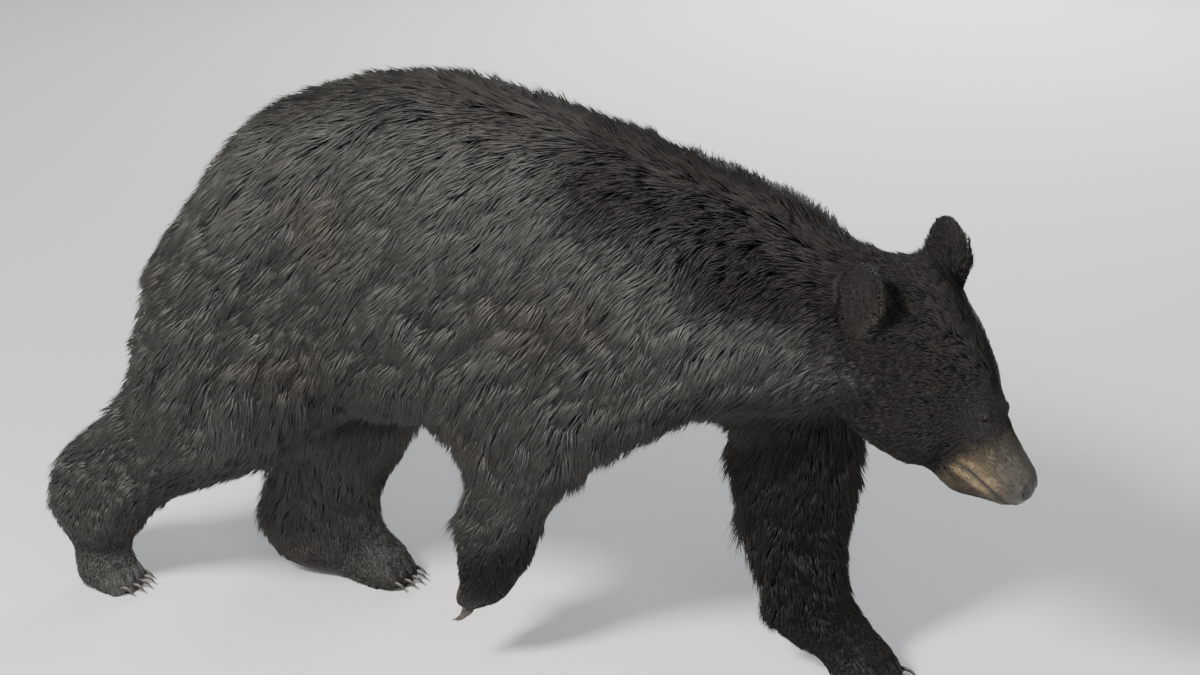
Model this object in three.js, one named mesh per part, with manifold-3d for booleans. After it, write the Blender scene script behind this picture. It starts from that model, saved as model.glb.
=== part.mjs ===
// A black bear at life size, standing in mid walk with its head low, its right hind foot pushing off
// and its right forefoot just lifted. Millimetres, X ahead, Y to the bear's left, Z up, floor at Z = 0.
// The body is one soft blend of named lumps and tapers. Each part is taken from that blend on a grid
// fine enough for it, and parted from its neighbours by a thin flat cut.
import * as THREE from 'three';
import Module from 'manifold-3d';
import { mergeVertices } from 'three/addons/utils/BufferGeometryUtils.js';

const wasm = await Module();
wasm.setup();

const GAP = 0.4;            // clear space left between neighbouring parts
const FAR = 2500;           // beyond the body on every side
const SIDES = [-1, 1];      // right, left
const CRUMB = 0.1;          // edges shorter than this are closed up

// Where the joints of each leg stand. `lean` tips a thigh forward at its top, in degrees.
const HIND_RIGHT = {
  hip: [-385, -122, 560], knee: [-400, -130, 380], hock: [-660, -100, 178], ball: [-668, -85, 62],
  lean: 8,
};
const HIND_LEFT = {
  hip: [-350, 115, 560], knee: [-325, 122, 310], hock: [-385, 106, 96], ball: [-275, 104, 40],
  lean: 0,
};
const FORE_RIGHT = {
  shoulder: [360, -130, 590], elbow: [108, -142, 400], wrist: [50, -137, 228], ball: [36, -135, 165],
};
const FORE_LEFT = {
  shoulder: [465, 92, 520], elbow: [452, 75, 325], wrist: [478, 48, 118], ball: [572, 40, 38],
};

// The head's own frame: X from the crown to the nose, Y to its left, Z up through the forehead.
const HEAD = { at: [655, -32, 672], turn: -15, nod: 48 };

// The barrel from rump to chest: at each place along X the height of its middle, its half height
// and its half width. It is narrower along the spine than at the belly, and closes in a dome.
const BARREL = [
  { x: -560, mid: 524, high: 76, wide: 108 },
  { x: -500, mid: 545, high: 152, wide: 162 },
  { x: -420, mid: 583, high: 214, wide: 208 },
  { x: -310, mid: 604, high: 256, wide: 235 },
  { x: -120, mid: 624, high: 281, wide: 242 },
  { x: 60, mid: 622, high: 260, wide: 235 },
  { x: 220, mid: 614, high: 230, wide: 215 },
  { x: 380, mid: 616, high: 172, wide: 180 },
  { x: 500, mid: 598, high: 128, wide: 150 },
];
const SPINE_NARROW = 0.2;
const BARREL_END = 42;

// Feet: five toes spread side by side ahead of one pad, and the length of each claw.
const TOES = [-2, -1, 0, 1, 2];
const FORE_FOOT = { spread: 20, reach: 38, toe: [27, 13, 16], pad: [48, 50, 30], claw: 40 };
const HIND_FOOT = { spread: 18, reach: 36, toe: [26, 12, 15], pad: [52, 45, 28], claw: 30 };

// A claw is a flattened taper bent down through part of a circle.
const CLAW = { rise: 25, bend: 85, tall: 5.2, broad: 3.4, tip: 0.9, rings: 3, sides: 5 };

// The face, placed in the head's own frame. Ears are upright round leaves dished toward their front.
const EYE = { at: [221, 26, 3], size: 10, spokes: 10, rings: 7 };
const NOSTRIL = { at: [345, 13, -12], half: [14, 6, 8], spokes: 7, rings: 5 };
const NOSE = { start: 331, under: -38 };
const MOUTH = { at: [345, 0, -58], rise: 12 };
const MUZZLE_START = 236;
const EAR = { wide: 39, tall: 60, up: 34, dish: 15, thick: 9, rings: [0.5, 0.8, 0.94], spokes: 12 };

// The short tail hangs down over the rump.
const TAIL = { at: [-560, 0, 560], nod: 115, long: 92, thick: [31, 21], spokes: 9 };

// How finely each part is faceted, and the box each leg is looked for in.
const CELL = {
  trunk: [70, 58, 58], neck: 50, head: 26, muzzle: 18, nose: 11, leg: 48, paw: 21,
};
const SEARCH = {
  hindRight: { low: [-800, -300, -30], high: [-180, 40, 540] },
  hindLeft: { low: [-620, -40, -30], high: [-90, 300, 540] },
  foreRight: { low: [-100, -300, 60], high: [320, 20, 400] },
  foreLeft: { low: [250, -80, -30], high: [740, 240, 470] },
};

// ---------------------------------------------------------------- small vector helpers
const add = (a, b) => [a[0] + b[0], a[1] + b[1], a[2] + b[2]];
const sub = (a, b) => [a[0] - b[0], a[1] - b[1], a[2] - b[2]];
const dot = (a, b) => a[0] * b[0] + a[1] * b[1] + a[2] * b[2];
const scaled = (a, s) => [a[0] * s, a[1] * s, a[2] * s];
const mix = (a, b, t) => a.map((v, i) => v + (b[i] - v) * t);
const radians = (d) => (d * Math.PI) / 180;

// A turned frame: heading about the upright, then nose down by `nod`, then roll about its own X.
function makeFrame(at, turn = 0, nod = 0, roll = 0) {
  const spin = new THREE.Quaternion().setFromEuler(
    new THREE.Euler(radians(roll), radians(nod), radians(turn), 'ZYX'));
  const axes = [[1, 0, 0], [0, 1, 0], [0, 0, 1]].map(
    (v) => new THREE.Vector3(...v).applyQuaternion(spin).toArray());
  return {
    at, axes,
    inward: (p) => axes.map((axis) => dot(axis, sub(p, at))),
    outward: (q) => axes.reduce((spot, axis, n) => add(spot, scaled(axis, q[n])), at),
  };
}

// ---------------------------------------------------------------- forms: signed distances, mm
// An egg of three half sizes, which may be turned.
function lump(at, half, soft = 40, { turn = 0, nod = 0, roll = 0 } = {}) {
  const frame = makeFrame(at, turn, nod, roll);
  const distance = (p) => {
    const q = frame.inward(p);
    const near = Math.hypot(q[0] / half[0], q[1] / half[1], q[2] / half[2]);
    const steep = Math.hypot(q[0] / half[0] ** 2, q[1] / half[1] ** 2, q[2] / half[2] ** 2);
    return steep > 1e-9 ? (near * (near - 1)) / steep : -Math.min(...half);
  };
  return { distance, soft };
}

// A limb length: round at both ends, from one thickness to another, `wide` times as broad across Y.
function limb(from, to, thickFrom, thickTo, soft = 40, wide = 1) {
  const run = sub(to, from);
  const long = dot(run, run);
  const distance = (p) => {
    const q = sub(p, from);
    const t = Math.min(1, Math.max(0, dot(q, run) / long));
    const r = sub(q, scaled(run, t));
    const thick = thickFrom + (thickTo - thickFrom) * t;
    return (Math.hypot(r[0], r[1] / wide, r[2]) - thick) * Math.min(1, wide);
  };
  return { distance, soft };
}

// Joins forms softly: within `soft` of each other they melt together.
function melt(a, b, soft) {
  const h = Math.max(soft - Math.abs(a - b), 0) / soft;
  return Math.min(a, b) - (h * h * soft) / 4;
}
function blend(forms) {
  return (p) => forms.reduce((d, form) => melt(d, form.distance(p), form.soft), 1e6);
}
const inFrame = (frame, form) => ({ distance: (p) => form.distance(frame.inward(p)), soft: form.soft });

// ---------------------------------------------------------------- trunk
// One of the barrel's measures at a place along X, from a smooth curve through the stations.
function alongBarrel(x, key) {
  const last = BARREL.length - 1;
  const at = Math.min(Math.max(x, BARREL[0].x), BARREL[last].x);
  let i = 0;
  while (i < last - 1 && BARREL[i + 1].x < at) i += 1;
  const [p, q] = [BARREL[i], BARREL[i + 1]];
  const slope = (a, b) => (BARREL[b][key] - BARREL[a][key]) / (BARREL[b].x - BARREL[a].x);
  const m0 = i > 0 ? slope(i - 1, i + 1) : slope(0, 1);
  const m1 = i + 2 <= last ? slope(i, i + 2) : slope(last - 1, last);
  const run = q.x - p.x;
  const t = (at - p.x) / run;
  return (2 * t ** 3 - 3 * t ** 2 + 1) * p[key] + (t ** 3 - 2 * t ** 2 + t) * run * m0
    + (3 * t ** 2 - 2 * t ** 3) * q[key] + (t ** 3 - t ** 2) * run * m1;
}

function barrel() {
  const distance = ([x, y, z]) => {
    const high = alongBarrel(x, 'high');
    const up = (z - alongBarrel(x, 'mid')) / high;
    const wide = alongBarrel(x, 'wide') * (1 - SPINE_NARROW * Math.max(-1, Math.min(1, up)));
    const over = Math.max(BARREL[0].x - x, x - BARREL[BARREL.length - 1].x, 0) / BARREL_END;
    return (Math.hypot(y / wide, up, over) - 1) * Math.min(high, wide) * 0.9;
  };
  return { distance, soft: 60 };
}

function trunkForms() {
  return [
    barrel(),
    lump([-400, 0, 480], [162, 170, 120], 70),
    lump([250, -122, 605], [150, 92, 170], 80, { nod: 15 }),
    lump([330, 110, 590], [150, 90, 170], 70, { nod: 20 }),
    limb([420, 0, 602], [600, -20, 578], 140, 118, 70, 0.95),
  ];
}

// ---------------------------------------------------------------- legs
function hindForms(leg) {
  const { hip, knee, hock, ball } = leg;
  return [
    lump(mix(hip, knee, 0.5), [145, 95, 175], 60, { nod: leg.lean }),
    limb(mix(hip, knee, 0.6), knee, 128, 120, 60, 0.75),
    limb(knee, hock, 116, 84, 60, 0.8),
    limb(hock, ball, 74, 46, 40, 0.85),
  ];
}

function foreForms(leg) {
  const { shoulder, elbow, wrist, ball } = leg;
  return [
    limb(shoulder, elbow, 100, 96, 60, 0.8),
    limb(elbow, wrist, 94, 64, 50, 0.85),
    limb(wrist, ball, 58, 42, 30, 1.0),
  ];
}

// ---------------------------------------------------------------- feet
// A foot's own frame starts at the ball: X toward the toes, Z away from the sole.

const toeAt = (foot, i) => [foot.reach - 3.4 * i * i, i * foot.spread, -foot.pad[2] + foot.toe[2]];

function footForms(frame, foot) {
  const toes = TOES.map((i) => lump(toeAt(foot, i), foot.toe, 12));
  return [lump([0, 0, 0], foot.pad, 30), ...toes].map((form) => inFrame(frame, form));
}

const footFrames = {
  hindRight: makeFrame([-655, -85, 26], 2, 0),
  hindLeft: makeFrame([-262, 104, 26], -3, 0),
  foreRight: makeFrame([36, -136, 150], 0, 108),
  foreLeft: makeFrame([578, 40, 28], -6, 0),
};

// ---------------------------------------------------------------- head
const headFrame = makeFrame(HEAD.at, HEAD.turn, HEAD.nod);

function headForms() {
  const cheeks = SIDES.map((side) => lump([130, side * 62, -92], [98, 50, 70], 60));
  const orbits = SIDES.map((side) => lump([196, side * 19, -26], [38, 22, 24], 20));
  const forms = [
    lump([64, 0, -54], [118, 98, 80], 90),
    lump([142, 0, -31], [82, 66, 62], 50),
    ...cheeks,
    ...orbits,
    limb([195, 0, -40], [315, 0, -31], 50, 35, 35, 0.95),
    limb([165, 0, -104], [255, 0, -84], 58, 42, 35, 0.9),
    limb([255, 0, -84], [308, 0, -58], 42, 25, 30, 0.9),
  ];
  return forms.map((form) => inFrame(headFrame, form));
}

// Long hair that hangs behind the standing foreleg.
const ELBOW_FRINGE = lump([385, 72, 215], [42, 36, 50], 40);

const wholeForms = [
  ...trunkForms(), ...hindForms(HIND_RIGHT), ...hindForms(HIND_LEFT),
  ...foreForms(FORE_RIGHT), ...foreForms(FORE_LEFT), ...headForms(),
  ...footForms(footFrames.hindRight, HIND_FOOT), ...footForms(footFrames.hindLeft, HIND_FOOT),
  ...footForms(footFrames.foreRight, FORE_FOOT), ...footForms(footFrames.foreLeft, FORE_FOOT),
  ELBOW_FRINGE,
];
const wholeBody = blend(wholeForms);

// ---------------------------------------------------------------- from field to surface
const CORNERS = [0, 1].flatMap((a) => [0, 1].flatMap((b) => [0, 1].map((c) => [a, b, c])));
const EDGES = CORNERS.flatMap((p, n) => CORNERS.slice(n + 1).map((q) => [p, q]))
  .filter(([p, q]) => Math.abs(p[0] - q[0]) + Math.abs(p[1] - q[1]) + Math.abs(p[2] - q[2]) === 1);

// The field's value at every corner of a grid of cells. The grid's rim counts as outside.
function sampleGrid(field, low, high, cell) {
  const size = typeof cell === 'number' ? [cell, cell, cell] : cell;
  const count = low.map((v, axis) => Math.ceil((high[axis] - v) / size[axis]) + 1);
  const at = (cellSpot) => cellSpot.map((v, axis) => low[axis] + v * size[axis]);
  const spot = ([i, j, k]) => (i * count[1] + j) * count[2] + k;
  const onRim = (cellSpot) => cellSpot.some((v, axis) => v === 0 || v === count[axis] - 1);
  const value = new Float64Array(count[0] * count[1] * count[2]);
  forEachCell(count, (here) => {
    const d = field(at(here));
    value[spot(here)] = onRim(here) ? Math.max(1, d) : d;
  });
  return { count, at, spot, value };
}

function forEachCell(count, visit) {
  for (let i = 0; i < count[0]; i += 1) {
    for (let j = 0; j < count[1]; j += 1) {
      for (let k = 0; k < count[2]; k += 1) visit([i, j, k]);
    }
  }
}

// The middle of the places where the surface crosses a cell's edges.
function crossingOf(grid, here) {
  let sum = [0, 0, 0];
  let count = 0;
  for (const [p, q] of EDGES) {
    const u = grid.value[grid.spot(add(here, p))];
    const v = grid.value[grid.spot(add(here, q))];
    if ((u < 0) !== (v < 0)) {
      sum = add(sum, grid.at(add(here, mix(p, q, u / (u - v)))));
      count += 1;
    }
  }
  return scaled(sum, 1 / count);
}

// Slides a point along the field's slope until it lies on the surface.
const SETTLE_STEPS = 2;
const PROBE = 0.5;

function settle(field, start) {
  let p = start;
  for (let step = 0; step < SETTLE_STEPS; step += 1) {
    const d = field(p);
    const slope = [0, 1, 2].map((axis) => {
      const q = [...p];
      q[axis] += PROBE;
      return (field(q) - d) / PROBE;
    });
    p = sub(p, scaled(slope, (0.8 * d) / Math.max(dot(slope, slope), 0.2)));
  }
  return p;
}

// Each cell that the surface crosses gets one point on it, and each grid edge that the surface
// crosses joins the four cells round that edge by two triangles, parted along the shorter diagonal.
function surface(field, low, high, cell) {
  const grid = sampleGrid(field, low, high, cell);
  const points = [];
  const faces = [];
  const named = new Map();
  const pointOf = (here) => {
    const key = grid.spot(here);
    if (!named.has(key)) {
      named.set(key, points.length);
      points.push(settle(field, crossingOf(grid, here)));
    }
    return named.get(key);
  };
  forEachCell(grid.count.map((n) => n - 1), (here) => {
    for (const [a, b, c] of [[0, 1, 2], [1, 2, 0], [2, 0, 1]]) {
      const next = [...here];
      next[a] += 1;
      const inside = grid.value[grid.spot(here)] < 0;
      if (here[b] === 0 || here[c] === 0 || inside === grid.value[grid.spot(next)] < 0) continue;
      const ring = [[0, 0], [-1, 0], [-1, -1], [0, -1]].map(([s, t]) => {
        const q = [...here];
        q[b] += s;
        q[c] += t;
        return pointOf(q);
      });
      faces.push(...splitQuad(inside ? ring : ring.reverse(), points));
    }
  });
  return meshOf(points.flat(), faces);
}

function splitQuad(quad, points) {
  const across = [0, 1].map((n) => Math.hypot(...sub(points[quad[n]], points[quad[n + 2]])));
  const first = across[0] <= across[1] ? 0 : 1;
  const [p0, p1, p2, p3] = [0, 1, 2, 3].map((n) => quad[(n + first) % 4]);
  return [p0, p1, p2, p0, p2, p3];
}

function meshOf(points, faces) {
  const geometry = new THREE.BufferGeometry();
  geometry.setAttribute('position', new THREE.Float32BufferAttribute(points, 3));
  geometry.setIndex(faces);
  return geometry;
}

// ---------------------------------------------------------------- solids
function toSolid(geometry) {
  const plain = geometry.clone();
  plain.deleteAttribute('normal');
  plain.deleteAttribute('uv');
  const merged = mergeVertices(plain, 1e-4);
  return new wasm.Manifold(new wasm.Mesh({
    numProp: 3,
    vertProperties: new Float32Array(merged.attributes.position.array),
    triVerts: new Uint32Array(merged.index.array),
  }));
}

function toGeometry(solid) {
  const mesh = solid.getMesh();
  return meshOf(mesh.vertProperties, Array.from(mesh.triVerts));
}

function placed(geometry, frame) {
  const basis = new THREE.Matrix4().makeBasis(...frame.axes.map((v) => new THREE.Vector3(...v)));
  basis.setPosition(...frame.at);
  return geometry.applyMatrix4(basis);
}

// A flat-sided block in its own frame, from low corner to high corner, grown by `grow` on each side.
function block(frame, low, high, grow = 0) {
  const size = low.map((v, axis) => high[axis] - v + 2 * grow);
  const geometry = new THREE.BoxGeometry(...size);
  geometry.translate(...mix(low, high, 0.5));
  return toSolid(placed(geometry, frame));
}

// Everything ahead of a frame's own Y-Z plane, or behind it, clear of the cut by half the gap.
const ahead = (frame) => block(frame, [GAP / 2, -FAR, -FAR], [FAR, FAR, FAR]);
const behind = (frame) => block(frame, [-FAR, -FAR, -FAR], [-GAP / 2, FAR, FAR]);

function carve({ low, high, cell, keep = [], drop = [] }) {
  const body = toSolid(surface(wholeBody, low, high, cell));
  const kept = keep.reduce((solid, cut) => solid.intersect(cut), body);
  return drop.reduce((solid, cut) => solid.subtract(cut), kept);
}

// ---------------------------------------------------------------- where the body is parted
const world = makeFrame([0, 0, 0]);
const thighTop = makeFrame([-250, 0, 322], 0, 20.7);
const elbowTop = makeFrame([450, 0, 385], 0, 22);

const cuts = {
  neck: makeFrame([452, 0, 600], 0, -28),
  head: makeFrame([608, -30, 640], HEAD.turn, 15),
  muzzle: makeFrame(headFrame.outward([MUZZLE_START, 0, 0]), HEAD.turn, HEAD.nod),
};
const legCuts = {
  hindRight: { knee: makeFrame([-455, -125, 330], 180, 40), paw: makeFrame([-668, -95, 135], 0, 88) },
  hindLeft: { knee: makeFrame([-325, 120, 275], 0, 98), paw: makeFrame([-360, 105, 105], 0, 78) },
  foreRight: { paw: makeFrame([45, -136, 205], 0, 98) },
  foreLeft: { paw: makeFrame([490, 45, 100], 0, 75) },
};

// The blocks of space that belong to each leg: a frame, and the block's two corners in it.
const zones = {
  hindRight: [thighTop, [-700, -400, -900], [270, 0, 0]],
  hindLeft: [thighTop, [-700, 0, -900], [270, 400, 0]],
  foreRight: [world, [-80, -400, 30], [300, -30, 335]],
  foreLeft: [elbowTop, [-108, -90, -500], [340, 400, 0]],
};
const inZone = (zone) => block(...zones[zone], -GAP / 2);
const outOfZones = () => Object.values(zones).map((zone) => block(...zone, GAP / 2));

// ---------------------------------------------------------------- trunk and neck
function bodyParts() {
  return {
    trunk: carve({
      low: [-700, -330, 300],
      high: [600, 330, 940],
      cell: CELL.trunk,
      keep: [behind(cuts.neck)],
      drop: outOfZones(),
    }),
    neck: carve({
      low: [230, -290, 320],
      high: [730, 290, 880],
      cell: CELL.neck,
      keep: [ahead(cuts.neck), behind(cuts.head)],
      drop: outOfZones(),
    }),
  };
}

// ---------------------------------------------------------------- head
function eyeSolid(side, grow = 0) {
  const ball = new THREE.SphereGeometry(EYE.size + grow, EYE.spokes, EYE.rings);
  ball.translate(...headFrame.outward([EYE.at[0], side * EYE.at[1], EYE.at[2]]));
  return toSolid(ball);
}

function nostril(side) {
  const pit = new THREE.SphereGeometry(1, NOSTRIL.spokes, NOSTRIL.rings);
  pit.scale(...NOSTRIL.half);
  pit.translate(NOSTRIL.at[0], side * NOSTRIL.at[1], NOSTRIL.at[2]);
  return toSolid(placed(pit, headFrame));
}

// The closed mouth is a thin cut that parts the muzzle from the lower jaw.
function headParts() {
  const mouth = makeFrame(headFrame.outward(MOUTH.at), HEAD.turn, HEAD.nod - MOUTH.rise);
  const upper = block(mouth, [-FAR, -FAR, GAP / 2], [FAR, FAR, FAR]);
  const lower = block(mouth, [-FAR, -FAR, -FAR], [FAR, FAR, -GAP / 2]);
  const noseBlock = [headFrame, [NOSE.start, -FAR, NOSE.under], [FAR, FAR, FAR]];
  const noseOff = block(...noseBlock, GAP / 2);
  const sockets = SIDES.map((side) => eyeSolid(side, GAP));
  const front = { low: [700, -250, 330], high: [960, 110, 640] };
  return {
    head: carve({
      low: [520, -260, 385],
      high: [930, 200, 820],
      cell: CELL.head,
      keep: [ahead(cuts.head), behind(cuts.muzzle)],
      drop: [...outOfZones(), ...sockets],
    }),
    muzzle: carve({
      ...front, cell: CELL.muzzle, keep: [ahead(cuts.muzzle), upper], drop: [noseOff, ...sockets],
    }),
    lower_jaw: carve({ ...front, cell: CELL.muzzle, keep: [ahead(cuts.muzzle), lower], drop: [noseOff] }),
    nose: carve({
      ...front, cell: CELL.nose, keep: [block(...noseBlock, -GAP / 2), upper], drop: SIDES.map(nostril),
    }),
    eye_right: eyeSolid(-1),
    eye_left: eyeSolid(1),
  };
}

// ---------------------------------------------------------------- ears and tail
const earFrames = {
  right: makeFrame([617, -134, 643], -98, -6, -6),
  left: makeFrame([672, 66, 658], 68, -6, 6),
};

// A leaf: rings of points on its front face and its back face, which meet in one ring at the rim.
function earLeaf(frame) {
  const { rings, spokes } = EAR;
  const spotOf = (r, n, face) => {
    const a = (2 * Math.PI * n) / spokes;
    const bulge = face * EAR.thick * Math.sqrt(1 - r ** 3);
    return [EAR.dish * r * r + bulge, EAR.wide * r * Math.cos(a), EAR.up + EAR.tall * r * Math.sin(a)];
  };
  const ringOf = (r, face) => Array.from({ length: spokes }, (_, n) => spotOf(r, n, face));
  const layers = [
    [spotOf(0, 0, 1)],
    ...rings.map((r) => ringOf(r, 1)),
    ringOf(1, 0),
    ...[...rings].reverse().map((r) => ringOf(r, -1)),
    [spotOf(0, 0, -1)],
  ];
  return toSolid(placed(meshOf(layers.flat(2), layerFaces(layers)), frame));
}

// Joins each ring of points to the next, from a single point at one end to one at the other.
function layerFaces(layers) {
  const starts = layers.map((_, i) => layers.slice(0, i).flat().length);
  const faces = [];
  for (let i = 0; i < layers.length - 1; i += 1) {
    const [here, next] = [layers[i].length, layers[i + 1].length];
    const many = Math.max(here, next);
    for (let n = 0; n < many; n += 1) {
      const m = (n + 1) % many;
      const [a, b] = [starts[i] + (n % here), starts[i] + (m % here)];
      const [c, d] = [starts[i + 1] + (n % next), starts[i + 1] + (m % next)];
      if (a !== b) faces.push(a, c, b);
      if (c !== d) faces.push(b, c, d);
    }
  }
  return faces;
}

function tailRoll() {
  const { thick, long, spokes } = TAIL;
  const arc = (middle, r, from, to) => [0, 1, 2, 3].map((n) => {
    const a = radians(from + ((to - from) * n) / 3);
    return new THREE.Vector2(Math.max(r * Math.cos(a), 0), middle + r * Math.sin(a));
  });
  const profile = [...arc(0, thick[0], -90, 0), ...arc(long, thick[1], 10, 90)];
  const geometry = new THREE.LatheGeometry(profile, spokes);
  geometry.rotateZ(-Math.PI / 2);
  return toSolid(placed(geometry, makeFrame(TAIL.at, 0, TAIL.nod)));
}

// Trims a piece to stand on its neighbours, then lifts it off them by a little more than the gap.
function standOn(piece, neighbours, lift) {
  const trimmed = neighbours.reduce((solid, under) => solid.subtract(under), piece);
  return trimmed.translate(scaled(lift, 1.5 * GAP));
}

// ---------------------------------------------------------------- claws
// Rings along a bent taper, from inside the toe to the point.
function clawRing(frame, root, long, t, grow) {
  const radius = long / radians(CLAW.bend);
  const start = radians(CLAW.rise);
  const tilt = radians(CLAW.rise - CLAW.bend * t);
  const back = t === 0 ? -grow : 0;
  const middle = add(root, [
    radius * (Math.sin(start) - Math.sin(tilt)) + back * Math.cos(tilt),
    0,
    radius * (Math.cos(tilt) - Math.cos(start)) + back * Math.sin(tilt),
  ]);
  const slim = 1 - t ** 1.5;
  const tall = CLAW.tip + (CLAW.tall - CLAW.tip) * slim + grow;
  const broad = 0.8 * CLAW.tip + (CLAW.broad - CLAW.tip) * slim + grow;
  return Array.from({ length: CLAW.sides }, (_, side) => {
    const a = (2 * Math.PI * side) / CLAW.sides;
    const [u, v] = [tall * Math.cos(a), broad * Math.sin(a)];
    return frame.outward(add(middle, [-u * Math.sin(tilt), v, u * Math.cos(tilt)]));
  });
}

function clawSolid(frame, root, long, grow = 0) {
  const { rings, sides } = CLAW;
  const points = [];
  const faces = [];
  for (let ring = 0; ring <= rings; ring += 1) {
    points.push(...clawRing(frame, root, long, ring / rings, grow));
  }
  for (let ring = 0; ring < rings; ring += 1) {
    for (let side = 0; side < sides; side += 1) {
      const [a, b] = [ring * sides + side, ring * sides + ((side + 1) % sides)];
      faces.push(a, a + sides, b, b, a + sides, b + sides);
    }
  }
  const end = rings * sides;
  for (let side = 1; side < sides - 1; side += 1) {
    faces.push(0, side, side + 1, end, end + side + 1, end + side);
  }
  return toSolid(meshOf(points.flat(), faces));
}

function clawsOf(name, frame, foot) {
  const roots = TOES.map((i) => add(toeAt(foot, i), [foot.toe[0] * 0.45, 0, 2]));
  const solids = Object.fromEntries(roots.map(
    (root, n) => [`claw_${name}_${n + 1}`, clawSolid(frame, root, foot.claw)]));
  const sockets = roots.map((root) => clawSolid(frame, root, foot.claw, GAP));
  return { solids, sockets };
}

// ---------------------------------------------------------------- legs and paws
const floorUp = () => block(world, [-FAR, -FAR, 0], [FAR, FAR, FAR]);

function hindParts(zone, name, nameOfThigh) {
  const { knee, paw } = legCuts[zone];
  const claws = clawsOf(name, footFrames[zone], HIND_FOOT);
  const leg = { ...SEARCH[zone], cell: CELL.leg };
  const foot = { ...SEARCH[zone], cell: CELL.paw };
  return {
    [nameOfThigh]: carve({ ...leg, keep: [inZone(zone), behind(knee)] }),
    [`leg_${name}`]: carve({ ...leg, keep: [inZone(zone), ahead(knee), behind(paw)] }),
    [`paw_${name}`]: carve({
      ...foot, keep: [inZone(zone), ahead(knee), ahead(paw), floorUp()], drop: claws.sockets,
    }),
    ...claws.solids,
  };
}

function foreParts(zone, name) {
  const { paw } = legCuts[zone];
  const claws = clawsOf(name, footFrames[zone], FORE_FOOT);
  const leg = { ...SEARCH[zone], cell: CELL.leg };
  const foot = { ...SEARCH[zone], cell: CELL.paw };
  return {
    [`leg_${name}`]: carve({ ...leg, keep: [inZone(zone), behind(paw)] }),
    [`paw_${name}`]: carve({ ...foot, keep: [inZone(zone), ahead(paw), floorUp()], drop: claws.sockets }),
    ...claws.solids,
  };
}

function allParts() {
  const body = bodyParts();
  const head = headParts();
  const crown = [body.neck, head.head];
  return {
    ...body,
    ...head,
    ear_right: standOn(earLeaf(earFrames.right), crown, earFrames.right.axes[2]),
    ear_left: standOn(earLeaf(earFrames.left), crown, earFrames.left.axes[2]),
    tail: standOn(tailRoll(), [body.trunk], [-1, 0, 0]),
    ...hindParts('hindRight', 'hind_right', 'thigh_right'),
    ...hindParts('hindLeft', 'hind_left', 'thigh_left'),
    ...foreParts('foreRight', 'front_right'),
    ...foreParts('foreLeft', 'front_left'),
  };
}

// Crumbs left where two cuts meet are dropped: each part is its own largest piece.
function largest(solid) {
  const pieces = solid.asOriginal().simplify(CRUMB).decompose();
  return pieces.sort((a, b) => b.volume() - a.volume())[0];
}

// ---------------------------------------------------------------- colours
const MATERIALS = [
  { of: /^claw/, color: 0x2c2926, roughness: 0.45 },
  { of: /^eye/, color: 0x14100d, roughness: 0.1 },
  { of: /^nose$/, color: 0x1c1b1c, roughness: 0.5 },
  { of: /^muzzle$/, color: 0x7d6a54, roughness: 0.85 },
  { of: /./, color: 0x272422, roughness: 0.9 },
];

function materialOf(name) {
  const { color, roughness } = MATERIALS.find(({ of }) => of.test(name));
  return new THREE.MeshStandardMaterial({ color, roughness, metalness: 0 });
}

// The origin is the middle of the whole bear's outline as seen from above, on the floor.
function toMiddle(meshes) {
  const box = new THREE.Box3();
  meshes.forEach((mesh) => {
    mesh.geometry.computeBoundingBox();
    box.union(mesh.geometry.boundingBox);
  });
  const middle = box.getCenter(new THREE.Vector3());
  meshes.forEach((mesh) => mesh.geometry.translate(-middle.x, -middle.y, 0));
}

const group = new THREE.Group();
group.name = 'black_bear';
for (const [name, solid] of Object.entries(allParts())) {
  const mesh = new THREE.Mesh(toGeometry(largest(solid)), materialOf(name));
  mesh.name = name;
  group.add(mesh);
}
toMiddle(group.children);

export default group;
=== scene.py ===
# A black bear at life size, walking with its head low. One skin stands for all the flesh of the frame's
# solids, and the coat grows on it in thin tufts. Metres, X ahead, Y to the bear's left, Z up.
import math
import bpy
import bmesh
import numpy as np
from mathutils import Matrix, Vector


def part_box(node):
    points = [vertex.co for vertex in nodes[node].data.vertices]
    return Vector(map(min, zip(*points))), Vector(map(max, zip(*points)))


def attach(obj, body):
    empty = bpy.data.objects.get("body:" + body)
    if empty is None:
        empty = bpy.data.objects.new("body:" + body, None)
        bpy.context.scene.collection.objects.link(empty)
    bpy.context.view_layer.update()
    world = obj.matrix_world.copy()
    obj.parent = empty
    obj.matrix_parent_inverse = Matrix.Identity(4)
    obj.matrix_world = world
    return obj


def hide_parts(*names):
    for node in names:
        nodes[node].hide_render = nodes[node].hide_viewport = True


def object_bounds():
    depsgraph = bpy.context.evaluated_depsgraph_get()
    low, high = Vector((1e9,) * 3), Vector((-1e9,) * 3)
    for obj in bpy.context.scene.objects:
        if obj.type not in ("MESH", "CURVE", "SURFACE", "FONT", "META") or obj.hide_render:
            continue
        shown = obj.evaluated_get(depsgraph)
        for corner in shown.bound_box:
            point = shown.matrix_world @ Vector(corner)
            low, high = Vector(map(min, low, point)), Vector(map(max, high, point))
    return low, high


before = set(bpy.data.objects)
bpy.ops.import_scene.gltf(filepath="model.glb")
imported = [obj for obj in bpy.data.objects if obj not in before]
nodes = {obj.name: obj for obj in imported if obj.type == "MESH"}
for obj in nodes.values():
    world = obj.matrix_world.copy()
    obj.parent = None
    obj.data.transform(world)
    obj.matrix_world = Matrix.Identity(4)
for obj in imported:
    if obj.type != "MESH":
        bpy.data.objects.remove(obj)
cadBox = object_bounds()


# camera

view = {
    "side": 23, "above": 20,      # degrees round from the bear's right side, and up from level
    "away": 5.8, "lens": 116.06,  # metres, millimetres
    "lookAt": (.061, .563),       # how far ahead of its middle, per length, and how high, per height
}


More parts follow.
